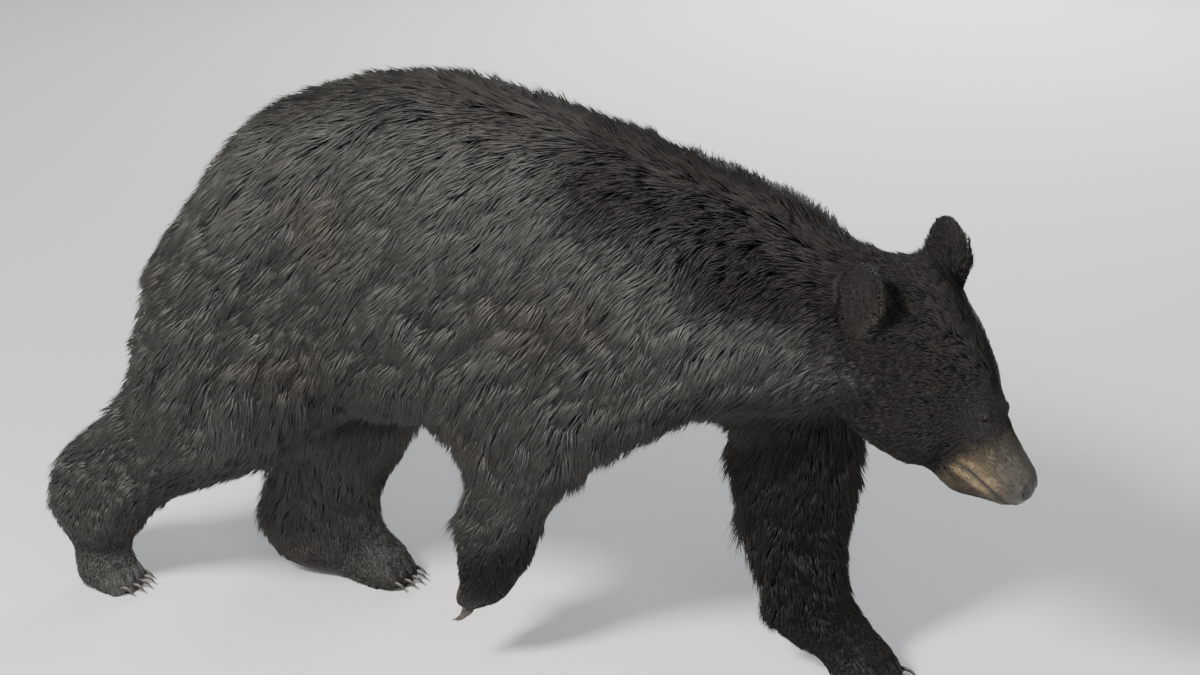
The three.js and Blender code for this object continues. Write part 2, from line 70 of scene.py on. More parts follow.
def lookTowards(thing, place, target):
    thing.location = place
    thing.rotation_euler = (Vector(target) - Vector(place)).to_track_quat("-Z", "Y").to_euler()


def makeCamera():
    # away from the target along (sin side cos above, -cos side cos above, sin above)
    low, high = (np.array(corner) for corner in cadBox)
    ahead, height = view["lookAt"]
    target = (low + high) / 2 + (high - low) * [ahead, 0, 0]
    target[2] = high[2] * height
    side, above = math.radians(view["side"]), math.radians(view["above"])
    back = np.array([math.sin(side) * math.cos(above), -math.cos(side) * math.cos(above), math.sin(above)])
    lens = bpy.data.cameras.new("camera")
    lens.lens = view["lens"]
    lens.clip_end = 100
    camera = bpy.data.objects.new("camera", lens)
    bpy.context.scene.collection.objects.link(camera)
    lookTowards(camera, tuple(target + back * view["away"]), tuple(target))
    bpy.context.scene.camera = camera


makeCamera()
print("camera is set")


# small tools

def readRows(items, key, width, kind=float):
    # one value or vector of every item, as the rows of an array
    values = np.empty(len(items) * width, kind)
    items.foreach_get(key, values)
    return values.reshape(-1, width)


def pointsOf(name):
    # all the corners of a solid of the frame
    return readRows(nodes[name].data.vertices, "co", 3)


def middleOf(*names):
    # the middle of the box round one solid or several
    spots = np.vstack([pointsOf(name) for name in names])
    return (spots.min(0) + spots.max(0)) / 2


def unit(vectors):
    # each vector divided by its own length
    return vectors / np.maximum(np.linalg.norm(vectors, axis=-1, keepdims=True), 1e-9)


def dots(vectors, directions):
    # the dot product of each pair
    return (vectors * directions).sum(-1)


def rise(values, start, end):
    # 0 below start, 1 above end, and 3t^2 - 2t^3 between them
    t = np.clip((values - start) / (end - start), 0, 1)
    return t * t * (3 - 2 * t)


def fall(values, start, end):
    # 1 below start, 0 above end: rise seen from the other end
    return rise(-values, -end, -start)


def meshFrom(name, spots, faces):
    # a mesh object from an array of corners and an array of faces with one number of corners
    mesh = bpy.data.meshes.new(name)
    mesh.vertices.add(len(spots))
    mesh.vertices.foreach_set("co", spots.astype(np.float32).ravel())
    mesh.loops.add(faces.size)
    mesh.loops.foreach_set("vertex_index", faces.astype(np.int32).ravel())
    mesh.polygons.add(len(faces))
    mesh.polygons.foreach_set("loop_start", np.arange(0, faces.size, faces.shape[1], dtype=np.int32))
    mesh.polygons.foreach_set("use_smooth", np.ones(len(faces), bool))
    mesh.update(calc_edges=True)
    piece = bpy.data.objects.new(name, mesh)
    bpy.context.scene.collection.objects.link(piece)
    return piece


def nearest(spots, places):
    # how far each spot is from the nearest of some places
    return np.min([np.linalg.norm(spots - place, axis=1) for place in places], axis=0)


def setField(mesh, name, values):
    field = mesh.attributes.get(name) or mesh.attributes.new(name, "FLOAT", "POINT")
    field.data.foreach_set("value", np.asarray(values, np.float32))


def getField(mesh, name):
    return readRows(mesh.attributes[name].data, "value", 1, np.float32)[:, 0].astype(float)


def waves(spots, size, seed, count=14, spread=(.6, 1.5), most=1.6):
    # smooth noise from -1 to 1: sum of sin(2 pi / size * direction . spot + phase) / sqrt(count) / most
    chance = np.random.default_rng(seed)
    directions = unit(chance.normal(size=(count, 3))) * (2 * np.pi / size)
    directions *= chance.uniform(*spread, (count, 1))
    phases = chance.uniform(0, 2 * np.pi, count)
    total = np.sin(spots @ directions.T + phases).sum(1) / math.sqrt(count)
    return np.clip(total, -most, most) / most


class Surface:
    # the corners, triangles and edges of a mesh as arrays, with what is worked out from neighbours

    def __init__(self, mesh):
        mesh.calc_loop_triangles()
        self.spots = readRows(mesh.vertices, "co", 3)
        self.edges = readRows(mesh.edges, "vertices", 2, np.int32)
        self.faces = readRows(mesh.loop_triangles, "vertices", 3, np.int32)
        self.count = len(self.spots)
        self.degree = np.bincount(self.edges.ravel(), minlength=self.count)

    def gather(self, targets, values):
        # adds up values at their targets
        if values.ndim == 1:
            return np.bincount(targets, values, self.count)
        return np.stack([np.bincount(targets, column, self.count) for column in values.T], -1)

    def neighbourMean(self, values):
        near, far = self.edges.T
        total = self.gather(near, values[far]) + self.gather(far, values[near])
        return total / (self.degree if values.ndim == 1 else self.degree[:, None])

    def smooth(self, values, times, share=1.0):
        for _ in range(times):
            values = values + share * (self.neighbourMean(values) - values)
        return values

    def normals(self):
        a, b, c = (self.spots[self.faces[:, n]] for n in range(3))
        cross = np.cross(b - a, c - a)
        return unit(sum(self.gather(self.faces[:, n], cross) for n in range(3)))

    def bendAlong(self, normals, directions):
        # how fast the surface bends away along a direction: d(normal)/d(step), over the neighbours
        near, far = self.edges.T
        step = self.spots[far] - self.spots[near]
        size = np.maximum(dots(step, step), 1e-12)
        bend = dots(normals[far] - normals[near], step) / size
        total = np.zeros(self.count)
        weights = np.full(self.count, 1e-9)
        for end in (near, far):
            share = dots(step, directions[end]) ** 2 / size
            total += np.bincount(end, share * bend, self.count)
            weights += np.bincount(end, share, self.count)
        return total / weights


# the parts of the body, and the coat on each

ears = ["ear_right", "ear_left"]
headParts = ["muzzle", "lower_jaw", "nose", "head"] + ears
bodyParts = ["neck", "trunk", "tail", "thigh_right", "thigh_left"]
legParts = [f"{part}_{end}_{side}" for part in ("leg", "paw") for end in ("hind", "front")
            for side in ("right", "left")]
flesh = headParts + bodyParts + legParts
eyeNames = ["eye_right", "eye_left"]
feet = ["hind_right", "hind_left", "front_right", "front_left"]
coatKeys = ["depth", "length", "width", "gap", "even"]
fieldNames = coatKeys + ["nosePad", "part"]

# depth: how far the skin lies under the solid. length and width: of a tuft. gap: between tufts.
# even: how much the skin is smoothed, 0..1. All but the last in metres.
coat = {
    "trunk": {"depth": .038, "length": .070, "width": .0026, "gap": .0034, "even": 1},
    "neck": {"depth": .032, "length": .058, "width": .0024, "gap": .0033, "even": .9},
    "head": {"depth": .0085, "length": .026, "width": .0014, "gap": .0022, "even": .3},
    "muzzle": {"depth": .0018, "length": .0075, "width": .0008, "gap": .0014, "even": .12},
    "lower_jaw": {"depth": .0016, "length": .008, "width": .0009, "gap": .0015, "even": .12},
    "nose": {"depth": .0003, "length": .003, "width": .0008, "gap": .02, "even": .05},
    "ear": {"depth": .0030, "length": .010, "width": .0009, "gap": .0016, "even": .75},
    "tail": {"depth": .012, "length": .045, "width": .0027, "gap": .0037, "even": .3},
    "thigh": {"depth": .034, "length": .064, "width": .0025, "gap": .0034, "even": .9},
    "leg": {"depth": .020, "length": .042, "width": .0022, "gap": .0031, "even": .8},
    "paw": {"depth": .006, "length": .014, "width": .0016, "gap": .0027, "even": .12},
}


def coatOf(node):
    return next(facts for part, facts in coat.items() if node == part or node.startswith(part + "_"))


# the skin

skinPlan = {
    "voxel": .0091,                 # size of its even mesh
    "swell": .0008,                 # closes the thin cuts between the solids
    "earSwell": .0068,              # gives the thin ears body while the mesh is made
    "fine": .012,                   # this near the ears and feet the size is halved, and on the face:
    "face": ((-.055, .125), (-.022, .080)),  # from how far ahead of the eyes, and how wide, once for each
    "eyes": .019, "nose": .024, "toes": .022,  # and again this near an eye, the nose or a claw
    "lids": .0135,                  # and once more at the lids
    "share": .8,                    # how far one smoothing takes a field toward its neighbours' mean
    "blend": 42, "near": 5,         # smoothings that mix one part's coat into the next, widely and close by
    "thin": 2.2,                    # how many times the close mixture the wide one may be
    "fieldTimes": 8, "depthTimes": 12, "soleTimes": 3, "padTimes": 2,  # how often each field is smoothed
    "earTimes": 4, "legTimes": 40,
    "evenTimes": 36, "insetSteps": 10,  # rounds of evening out the facets, and steps in under the coat
    "ease": (.35, .5),              # how much each of those steps evens it, under a deep coat and on the ears
    "easeDepth": (.004, .03),       # where the coat counts as deep
}


def joinedFlesh():
    # the solids of flesh in one mesh, each corner moved out by swell along its normal
    spots, faces, fields = [], [], []
    for number, name in enumerate(flesh + eyeNames):
        shell = bmesh.new()
        shell.from_mesh(nodes[name].data)
        bmesh.ops.remove_doubles(shell, verts=shell.verts, dist=1e-5)
        copy = bpy.data.meshes.new("copy")
        shell.to_mesh(copy)
        shell.free()
        surface = Surface(copy)
        swell = skinPlan["earSwell" if name.startswith("ear") else "swell"]
        spots.append(surface.spots + surface.normals() * swell)
        faces.append(surface.faces + sum(len(part) for part in spots[:-1]))
        facts = coatOf("muzzle" if name in eyeNames else name)
        row = [facts[key] for key in coatKeys]
        fields.append(np.tile(row + [float(name == "nose"), number], (surface.count, 1)))
        bpy.data.meshes.remove(copy)
    piece = meshFrom("skin", np.vstack(spots), np.vstack(faces))
    for column, key in zip(np.vstack(fields).T, fieldNames):
        setField(piece.data, key, column)
    return piece


def remesh(piece):
    bpy.context.view_layer.objects.active = piece
    piece.select_set(True)
    piece.data.remesh_voxel_size = skinPlan["voxel"]
    piece.data.use_remesh_preserve_attributes = True
    bpy.ops.object.voxel_remesh()


def edit(mesh, work):
    # opens a mesh, does that work on it and closes it
    opened = bmesh.new()
    opened.from_mesh(mesh)
    work(opened)
    opened.to_mesh(mesh)
    opened.free()


def refine(mesh, chosen):
    # halves every edge whose two ends are chosen
    picked = np.nonzero(chosen[Surface(mesh).edges].all(1))[0]

    def halve(opened):
        opened.edges.ensure_lookup_table()
        edges = [opened.edges[n] for n in picked]
        bmesh.ops.subdivide_edges(opened, edges=edges, cuts=1, use_grid_fill=True)

    edit(mesh, halve)


def dropCrumbs(mesh):
    # removes what isn't joined to the body: each corner takes the lowest number among its neighbours
    surface = Surface(mesh)
    label = np.arange(surface.count)
    near, far = surface.edges.T
    for _ in range(2000):
        lower = np.minimum(label[near], label[far])
        fresh = label.copy()
        np.minimum.at(fresh, near, lower)
        np.minimum.at(fresh, far, lower)
        fresh = fresh[fresh]
        if (fresh == label).all():
            break
        label = fresh
    loose = np.nonzero(label != np.bincount(label).argmax())[0]

    def clear(opened):
        opened.verts.ensure_lookup_table()
        bmesh.ops.delete(opened, geom=[opened.verts[n] for n in loose], context="VERTS")

    if len(loose):
        edit(mesh, clear)


def clawRoots(foot, nearestCorners=10):
    # where each claw leaves its toe: the mean of its corners nearest the middle of the foot
    paw = middleOf(f"paw_{foot}")
    roots = []
    for number in range(1, 6):
        spots = pointsOf(f"claw_{foot}_{number}")
        order = np.argsort(np.linalg.norm(spots - paw, axis=1))
        roots.append(spots[order[:nearestCorners]].mean(0))
    return roots


def footAxes(foot):
    # the middle of the foot, then ahead to the toes, across to the bear's left and up, out of its back
    paw = middleOf(f"paw_{foot}")
    ahead = unit((np.mean(clawRoots(foot), axis=0) - paw) * [1, 0, 1])
    upward = unit(np.cross(ahead, [0, 1, 0]))
    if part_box(f"paw_{foot}")[0][2] < toes["flat"]:
        ahead, upward = unit(ahead * [1, 0, 0]), np.array([0, 0, 1])
    return paw, ahead, np.cross(upward, ahead), upward


# the face's own frame: from between the eyes, X to the nose, Y to the bear's left, Z out of the brow

eyeMiddles = {side: middleOf(f"eye_{side}") for side in ("right", "left")}
eyeSpots = list(eyeMiddles.values())
noseSpot = pointsOf("nose").mean(0)
clawSpots = [spot for foot in feet for spot in clawRoots(foot)]
faceAt = (eyeMiddles["right"] + eyeMiddles["left"]) / 2
faceY = unit(eyeMiddles["left"] - eyeMiddles["right"])
faceX = noseSpot - faceAt
faceX = unit(faceX - faceY * (faceX @ faceY))
faceAxes = np.stack([faceX, faceY, np.cross(faceX, faceY)])
eyeApart = float(np.linalg.norm(eyeMiddles["left"] - eyeMiddles["right"])) / 2
muzzleDrop = .045  # how far the muzzle's middle line lies below the eyes


def toFace(spots):
    return (spots - faceAt) @ faceAxes.T


def fromFace(spots):
    return faceAt + spots @ faceAxes


skin = joinedFlesh()
remesh(skin)
dropCrumbs(skin.data)
surface = Surface(skin.data)
for key in coatKeys:
    # a part's coat passes softly into the next, but keeps thin where the part is small
    own = getField(skin.data, key)
    wide = surface.smooth(own, skinPlan["blend"], skinPlan["share"])
    near = surface.smooth(own, skinPlan["near"], skinPlan["share"])
    setField(skin.data, key, np.minimum(wide, near * skinPlan["thin"]))
small = np.zeros(surface.count, bool)
for name in ears + [f"paw_{foot}" for foot in feet]:
    low, high = (np.array(corner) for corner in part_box(name))
    margin = skinPlan["fine"]
    small |= ((surface.spots > low - margin) & (surface.spots < high + margin)).all(1)
refine(skin.data, small)
for start, reach in skinPlan["face"]:
    spots = toFace(Surface(skin.data).spots)
    spread = np.hypot(spots[:, 1], spots[:, 2] + muzzleDrop)
    refine(skin.data, (spots[:, 0] > start) & (spread < reach))
spots = Surface(skin.data).spots
close = nearest(spots, eyeSpots) < skinPlan["eyes"]
close |= nearest(spots, [noseSpot]) < skinPlan["nose"]
close |= nearest(spots, clawSpots) < skinPlan["toes"]
refine(skin.data, close)
refine(skin.data, nearest(Surface(skin.data).spots, eyeSpots) < skinPlan["lids"])
print("skin is meshed,", len(skin.data.vertices), "corners")


# how the coat lies: strokes from point to point, each with its own direction and how far it tells

def chainOf(reach, *places):
    # strokes from each place to the next, along the line between them
    return [(a, b, unit(np.array(b) - np.array(a)), reach) for a, b in zip(places[:-1], places[1:])]


# on each side of the barrel: how far across, how high (0 belly, 1 back), the coat's direction, its reach
coatLie = [
    (.06, .95, (-1, .50, -.7), .10),
    (.18, .74, (-.55, .90, -.80), .15),
    (.22, .45, (-.70, 0, -1), .15),
    (.17, .20, (-.30, 0, -1), .14),
]
lay = {
    "face": .045, "neck": .11, "throat": .12, "rump": .13, "tail": .035, "ear": .03,  # reach of the strokes
    "hip": .13, "hind": .09, "shoulder": .11, "front": .07, "paw": .05,
    "neckLie": (-1, 0, -.35), "throatLie": (-.85, 0, -1), "rumpLie": (-.55, 0, -1),  # their directions
    "fore": .14, "back": .20,                    # how far inside the trunk the barrel's strokes start and end
    "chestDown": .38, "rumpDown": .33,           # how far below its top the throat and the rump are
    "tailEnd": (-.01, 0, -.05),                  # from the middle of the tail
    "hipAt": (.02, 0, .16), "hipLean": (-.16, 0, 0),  # from the thigh's middle, and added to the way back
    "shoulderAt": {"right": (.1, 0, .22), "left": (0, 0, .22)}, "shoulderLean": (-.06, 0, 0),
    "earEnds": (-.03, .05),                      # from the middle of the ear, along it
    "closest": .01,                              # distances count as no less than this
    "times": 50, "bendTimes": 12,                # how often the lie and the skin's bend are smoothed
}


def strokes():
    mid = {name: pointsOf(name).mean(0) for name in flesh}
    low, high = (np.array(corner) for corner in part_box("trunk"))
    fore, back = high[0] - lay["fore"], low[0] + lay["back"]
    chest = np.array([fore, 0, high[2] - lay["chestDown"]])
    rump = np.array([back, 0, high[2] - lay["rumpDown"]])
    found = chainOf(lay["face"], mid["nose"], mid["muzzle"], mid["head"])
    found += chainOf(lay["face"], mid["nose"], mid["lower_jaw"], mid["head"])
    found.append((mid["head"], mid["neck"], unit(np.array(lay["neckLie"])), lay["neck"]))
    for side in (-1, 1):
        for across, height, direction, reach in coatLie:
            at = low[2] + height * (high[2] - low[2])
            ends = [np.array([x, side * across, at]) for x in (fore, back)]
            found.append((*ends, unit(np.array(direction) * [1, side, 1]), reach))
    found.append((mid["neck"], chest, unit(np.array(lay["throatLie"])), lay["throat"]))
    found.append((rump, mid["tail"], unit(np.array(lay["rumpLie"])), lay["rump"]))
    found += chainOf(lay["tail"], mid["tail"], mid["tail"] + lay["tailEnd"])
    for side in ("right", "left"):
        thigh, leg = mid[f"thigh_{side}"], mid[f"leg_hind_{side}"]
        hip = thigh + lay["hipAt"]
        found.append((hip, thigh, unit(thigh - hip + lay["hipLean"]), lay["hip"]))
        found += chainOf(lay["hind"], thigh, leg, mid[f"paw_hind_{side}"])
        ear = mid[f"ear_{side}"]
        out = unit(ear - mid["head"])
        found += chainOf(lay["ear"], *[ear + out * step for step in lay["earEnds"]])
        leg = mid[f"leg_front_{side}"]
        shoulder = leg + lay["shoulderAt"][side]
        found.append((shoulder, leg, unit(leg - shoulder + lay["shoulderLean"]), lay["shoulder"]))
        found += chainOf(lay["front"], leg, mid[f"paw_front_{side}"])
    for foot in feet:
        claws = middleOf(*[f"claw_{foot}_{n}" for n in range(1, 6)])
        found += chainOf(lay["paw"], mid[f"paw_{foot}"], claws)
    return found


def combed(spots, normals):
    # the mean of the strokes' directions, each by (reach / distance)^4, laid flat on the skin
    total = np.zeros_like(spots)
    for start, end, direction, reach in strokes():
        run = end - start
        share = np.clip((spots - start) @ run / (run @ run), 0, 1)
        distance = np.linalg.norm(spots - start - share[:, None] * run, axis=1)
        total += direction * ((reach / np.maximum(distance, lay["closest"])) ** 4)[:, None]
    total = unit(total)
    return unit(total - normals * dots(total, normals)[:, None])


# shaping the skin

toes = {
    "groove": .0050, "wide": .0042,    # how deep and wide the hollows between the toes are
    "ahead": .016, "back": .034,       # how far they run, both ways from the roots of the claws
    "fade": .4,                        # the share of that where they start to fade
    "pad": .0022, "padRound": .009,    # how far the pads stand out, and their size
    "padBack": .006, "padDown": .012,  # how far behind and below the roots of the claws they are
    "crease": .0030, "creaseAt": .022, "creaseWide": .005,  # the crease behind the toes' pads
    "near": (.024, .040),              # how far from the claws all this fades out
    "flat": .005,                      # a foot that comes lower than this stands flat on the floor
    "soleNear": (.09, .13), "soleUnder": (.002, .012),  # the sole: near the paw's middle, below it,
    "soleFacing": (.45, .8),           # and facing down
}


def soles(surface, normals):
    # 1 on the underside of each foot, where the pads are
    mask = np.zeros(surface.count)
    for foot in feet:
        paw, _, _, upward = footAxes(foot)
        near = fall(np.linalg.norm(surface.spots - paw, axis=1), *toes["soleNear"])
        under = rise(-(surface.spots - paw) @ upward, *toes["soleUnder"])
        mask = np.maximum(mask, near * under * rise(-(normals @ upward), *toes["soleFacing"]))
    return mask


def shapeFeet(spots, normals, sole):
    # hollows between the toes, depth * exp(-(across / wide)^2), and round pads under them
    for foot in feet:
        paw, ahead, across, upward = footAxes(foot)
        roots = sorted(clawRoots(foot), key=lambda root: float(root @ across))
        move = np.zeros(len(spots))
        for one, other in zip(roots[:-1], roots[1:]):
            away = spots - (one + other) / 2
            run = away @ ahead
            span = rise(run, -toes["back"], -toes["fade"] * toes["back"])
            span *= fall(run, toes["fade"] * toes["ahead"], toes["ahead"])
            aside = away @ unit((other - one) - ahead * ((other - one) @ ahead))
            move -= toes["groove"] * np.exp(-(aside / toes["wide"]) ** 2) * span
        for root in roots:
            away = spots - (root - ahead * toes["padBack"] - upward * toes["padDown"])
            move += toes["pad"] * sole * np.exp(-dots(away, away) / toes["padRound"] ** 2)
        back = (spots - np.mean(roots, axis=0)) @ ahead + toes["creaseAt"]
        move -= toes["crease"] * sole * np.exp(-(back / toes["creaseWide"]) ** 2)
        spots = spots + normals * (move * fall(nearest(spots, roots), *toes["near"]))[:, None]
    return spots


def onParts(names, times, share=1.0):
    # 1 on those parts and 0 elsewhere, smoothed that many times
    chosen = np.isin(np.rint(fields["part"]), [flesh.index(name) for name in names])
    return surface.smooth(chosen.astype(float), times, share)


def shapeBody():
    # evens out the facets, then moves the skin in by the coat's depth along its normals in small steps
    steps, (deep, inEars) = skinPlan["insetSteps"], skinPlan["ease"]
    for _ in range(skinPlan["evenTimes"]):
        surface.spots += fields["even"][:, None] * (surface.neighbourMean(surface.spots) - surface.spots)
    sole = surface.smooth(soles(surface, surface.normals()), skinPlan["soleTimes"])
    depth = surface.smooth(fields["depth"], skinPlan["depthTimes"], skinPlan["share"]) * (1 - sole)
    ease = deep * rise(depth, *skinPlan["easeDepth"]) + inEars * onParts(ears, skinPlan["earTimes"])
    for _ in range(steps):
        surface.spots -= surface.normals() * (depth / steps)[:, None]
        surface.spots += ease[:, None] * (surface.neighbourMean(surface.spots) - surface.spots)
    surface.spots = shapeFeet(surface.spots, surface.normals(), sole)
    surface.spots[:, 2] = np.maximum(surface.spots[:, 2], 0)
    return sole, depth


# near the eyes and on the toes the coat is thin: at most least + grow * distance beyond start
thinCoat = [
    (eyeSpots, "depth", .0018, .09, .015),
    (eyeSpots, "length", .0042, .28, .012),
    (eyeSpots, "gap", .0013, .03, .012),
    (eyeSpots, "width", .0008, .02, .012),
    (clawSpots, "depth", .0024, .10, .020),
    (clawSpots, "length", .007, .30, .018),
]
surface = Surface(skin.data)
fields = {key: getField(skin.data, key) for key in fieldNames}
for key in ("even", "length", "width", "gap"):
    fields[key] = surface.smooth(fields[key], skinPlan["fieldTimes"], skinPlan["share"])
for places, key, least, grow, start in thinCoat:
    beyond = np.maximum(nearest(surface.spots, places) - start, 0)
    fields[key] = np.minimum(fields[key], least + grow * beyond)
fields["sole"], fields["depth"] = shapeBody()
print("skin lies under the coat")


# shaping the face, in its own frame

face = {
    "eyeRound": .0098, "eyeSunk": .0048,  # radius of an eyeball, and how deep it lies behind the solid's
    "gaze": (.56, .75, .34),              # the way each eye looks: ahead, outward, up
    "lidSlope": .30,                      # how far the lid line drops towards the nose
    "open": (.82, .48), "narrow": .55,    # the opening's half width and height, radians, and its narrowing
    "leastOut": .05, "leastOpen": .2,     # the way out of the eye, and its height, count as no less
    "edge": (.95, 1.01), "inside": .80,   # where it ends, and how far out the skin lies in it, per radius
    "lid": .0012,                         # thickness of a lid, and its fuller rim:
    "lidFull": .6, "lidAt": 1.10, "lidWide": .12,  # by how much, where (1 is the opening's edge), how wide
    "bank": .0045, "soft": .0006,         # how fast the face rises round the lids, and how softly they meet
    "fold": .0009, "foldAt": 1.62, "foldWide": .16, "foldAbove": .8,  # the crease above the upper lid
    "socket": (.017, .025), "socketFacing": (-.1, .25),  # where the pull of the lids fades out
    "rim": (1.18, 1.50), "rimNear": (.0145, .018), "rimFacing": (0, .2), "rimBare": .8,  # the bare edges
    # forms that stand out: height, place and sizes
    "forms": ((.0062, (-.013, .028, .019), (.017, .015, .011)),      # brow
              (-.007, (.127, .0125, .001), (.0095, .0050, .0060)),   # nostril
              (.0016, (.123, .0205, .003), (.009, .006, .009))),     # wing of the nose
    "mouthAt": (.117, -.031), "mouthSlope": .36, "mouthBend": 2.0, "mouthBendAt": .085,
    "mouthFrom": (.028, .050), "mouthDeep": .0030, "mouthWide": .0022,
    "lip": .0009, "lipUp": .006, "lipWide": .0045,       # the upper lip stands out above the mouth
    "cleft": .0022, "cleftWide": .0016, "cleftFrom": (.112, .122),  # between the nostrils
    "cleftUp": (-.004, .006), "cleftLow": -.033,
}


def eyeAxes(side):
    # out along the gaze, then along the lids towards the nose, then up across them
    ahead, outward, up = face["gaze"]
    gaze = unit(np.array([ahead, outward * side, up]))
    lids = np.array([1, 0, -face["lidSlope"]])
    lids = unit(lids - gaze * (lids @ gaze))
    upward = np.cross(lids, gaze) * side
    return gaze, lids, upward


def eyeCentre(side):
    return np.array([0, side * eyeApart, 0]) - eyeAxes(side)[0] * face["eyeSunk"]


def eyeParts(spots, side):
    # each spot's distance and direction from the eyeball's middle, how far it faces along the gaze, and its
    # place across the opening: sqrt(u^2 + (v / (1 - narrow * u^2))^2), 1 at the edge of the lids
    gaze, lids, upward = eyeAxes(side)
    away = spots - eyeCentre(side)
    ray = unit(away)
    out = ray @ gaze
    wide, high = face["open"]
    ahead = np.maximum(out, face["leastOut"])
    u = np.arctan2(ray @ lids, ahead) / wide
    v = np.arctan2(ray @ upward, ahead) / high
    slit = np.sqrt(u ** 2 + (v / np.maximum(1 - face["narrow"] * u ** 2, face["leastOpen"])) ** 2)
    return np.linalg.norm(away, axis=1), ray, out, slit, v


def shapeEyes(spots):
    # round each eyeball the skin lies on a lid's thickness over it, and inside the opening it dips behind it;
    # they meet as (a + b + sqrt((a - b)^2 + soft^2)) / 2
    ball = face["eyeRound"]
    for side in (-1, 1):
        distance, ray, out, slit, above = eyeParts(spots, side)
        outside = rise(slit, *face["edge"])
        full = face["lidFull"] * np.exp(-((slit - face["lidAt"]) / face["lidWide"]) ** 2)
        lidRim = ball + face["lid"] * (1 + full)
        around = np.minimum(distance, lidRim + face["bank"] * np.maximum(slit - face["lidAt"], 0))
        covered = (lidRim + around + np.sqrt((lidRim - around) ** 2 + face["soft"] ** 2)) / 2
        fold = face["fold"] * np.exp(-((slit - face["foldAt"]) / face["foldWide"]) ** 2)
        covered -= fold * rise(above, 0, face["foldAbove"])
        wanted = outside * covered + (1 - outside) * ball * face["inside"]
        near = fall(distance, *face["socket"]) * rise(out, *face["socketFacing"])
        moved = distance + near * (wanted - distance)
        spots = np.where((near > 0)[:, None], eyeCentre(side) + ray * moved[:, None], spots)
    return spots


def lidRims(spots):
    # 1 on the bare edges of the lids
    rims = np.zeros(len(spots))
    for side in (-1, 1):
        distance, _, out, slit, _ = eyeParts(spots, side)
        rim = fall(slit, *face["rim"]) * rise(out, *face["rimFacing"]) * fall(distance, *face["rimNear"])
        rims = np.maximum(rims, rim)
    return rims


def bump(spots, place, sizes):
    # 1 at the place, falling off as exp(-distance^2) in its three sizes
    return np.exp(-((((spots - np.array(place)) / np.array(sizes)) ** 2).sum(1)))


def mouthLine(spots):
    # how far a point lies above the closed mouth: z - (at z + slope * (x - at x) - bend * (x - bend at)^2)
    atX, atZ = face["mouthAt"]
    x, _, z = spots.T
    return z - (atZ + face["mouthSlope"] * (x - atX) - face["mouthBend"] * (x - face["mouthBendAt"]) ** 2)


def shapeFace(spots, normals):
    # moves the skin along its normals: by the forms on both sides, and in at the mouth and the nose's cleft
    for side in (-1, 1):
        for height, (x, y, z), sizes in face["forms"]:
            spots = spots + normals * (height * bump(spots, (x, y * side, z), sizes))[:, None]
    ahead = rise(spots[:, 0], *face["mouthFrom"])
    groove = np.exp(-(mouthLine(spots) / face["mouthWide"]) ** 2) * ahead
    spots = spots - normals * (face["mouthDeep"] * groove)[:, None]
    lips = np.exp(-((mouthLine(spots) - face["lipUp"]) / face["lipWide"]) ** 2) * ahead
    spots = spots + normals * (face["lip"] * lips)[:, None]
    x, y, z = spots.T
    cleft = np.exp(-(y / face["cleftWide"]) ** 2) * rise(x, *face["cleftFrom"]) * fall(z, *face["cleftUp"])
    return spots - normals * (face["cleft"] * cleft * (z > face["cleftLow"]))[:, None]


# what the skin and every tuft on it carry: tan muzzle, with painted shade high on it and under the jaw, dark
# bridge, a darker head and withers that is partly painted shade, and painted shade on top of the back and on
# the underside
markings = ("tan", "bridge", "darkCoatAndShade")
muzzle = {
    "inside": (.10, .14),                    # how far out from its middle line all this ends
    "waves": (.03, 4),                       # size and seed of the waves along the edges of the tan
    "border": .030, "slope": .16, "lowest": -.07,  # it starts at border - slope * height ahead of the eyes
    "ragged": .008, "fade": .024,            # how much those waves shift its start, and how wide it fades in
    "bridge": (-.012, .004), "bridgeOut": (.022, .038), "bridgeDrop": .10, "bridgeRagged": .003,
    "lipsWide": .0046, "lipsFrom": (.030, .055),
    "chin": (.012, .021), "front": (.090, .112),   # how far below the mouth, and how far ahead
    "darker": {"bridge": .75, "lips": .9, "chin": .85, "front": .8},  # what each takes from the tan; the chin's share is painted shade under the jaw
    "pale": .26, "paleBelow": (.004, .028),  # the share that is left of the tan high above the mouth, painted shade on the muzzle's upper side
}
# a darker coat above a line from the back to the cheek, partly darker hair and partly painted shade, and
# painted shade on top of the back and on the underside
darkCoatAndShade = {
    "line": ((.100, .862), (.729, .622)),    # from back to cheek, in half lengths and heights of the bear
    "edge": (-.045, .04),                    # how far below and above the line it starts and is full
    "start": (-.14, .08),                    # and how far behind and ahead of the line's first end
    "ragged": .03, "waves": (.16, 6),        # how much waves shift the line, their size and their seed
    "up": (.70, .98), "down": (.15, .75),    # how far the back faces up and the underside down
    "share": .75,                            # and how dark both are: painted shade on top of the back and on the underside
    "head": (-.17, -.09),                    # from here to there behind the eyes the head turns dark, partly darker hair and partly painted shade
}


def darkCoatAndShadeOf(spots, normals):
    # 1 above the line from the back to the cheek, and 0 well below it or behind its start, a darker coat that
    # is partly painted shade; share on top of the back and on the underside, where it is painted shade
    (x1, z1), (x2, z2) = [(x * cadBox[1][0], z * cadBox[1][2]) for x, z in darkCoatAndShade["line"]]
    x, _, z = spots.T
    above = z - (z1 + (x - x1) * (z2 - z1) / (x2 - x1)) + darkCoatAndShade["ragged"] * waves(spots, *darkCoatAndShade["waves"])
    # painted shade where the skin faces up on the back or down on the underside
    facing = np.maximum(rise(normals[:, 2], *darkCoatAndShade["up"]), rise(-normals[:, 2], *darkCoatAndShade["down"]))
    behind, ahead = darkCoatAndShade["start"]
    return np.maximum(rise(above, *darkCoatAndShade["edge"]) * rise(x, x1 + behind, x1 + ahead), darkCoatAndShade["share"] * facing)


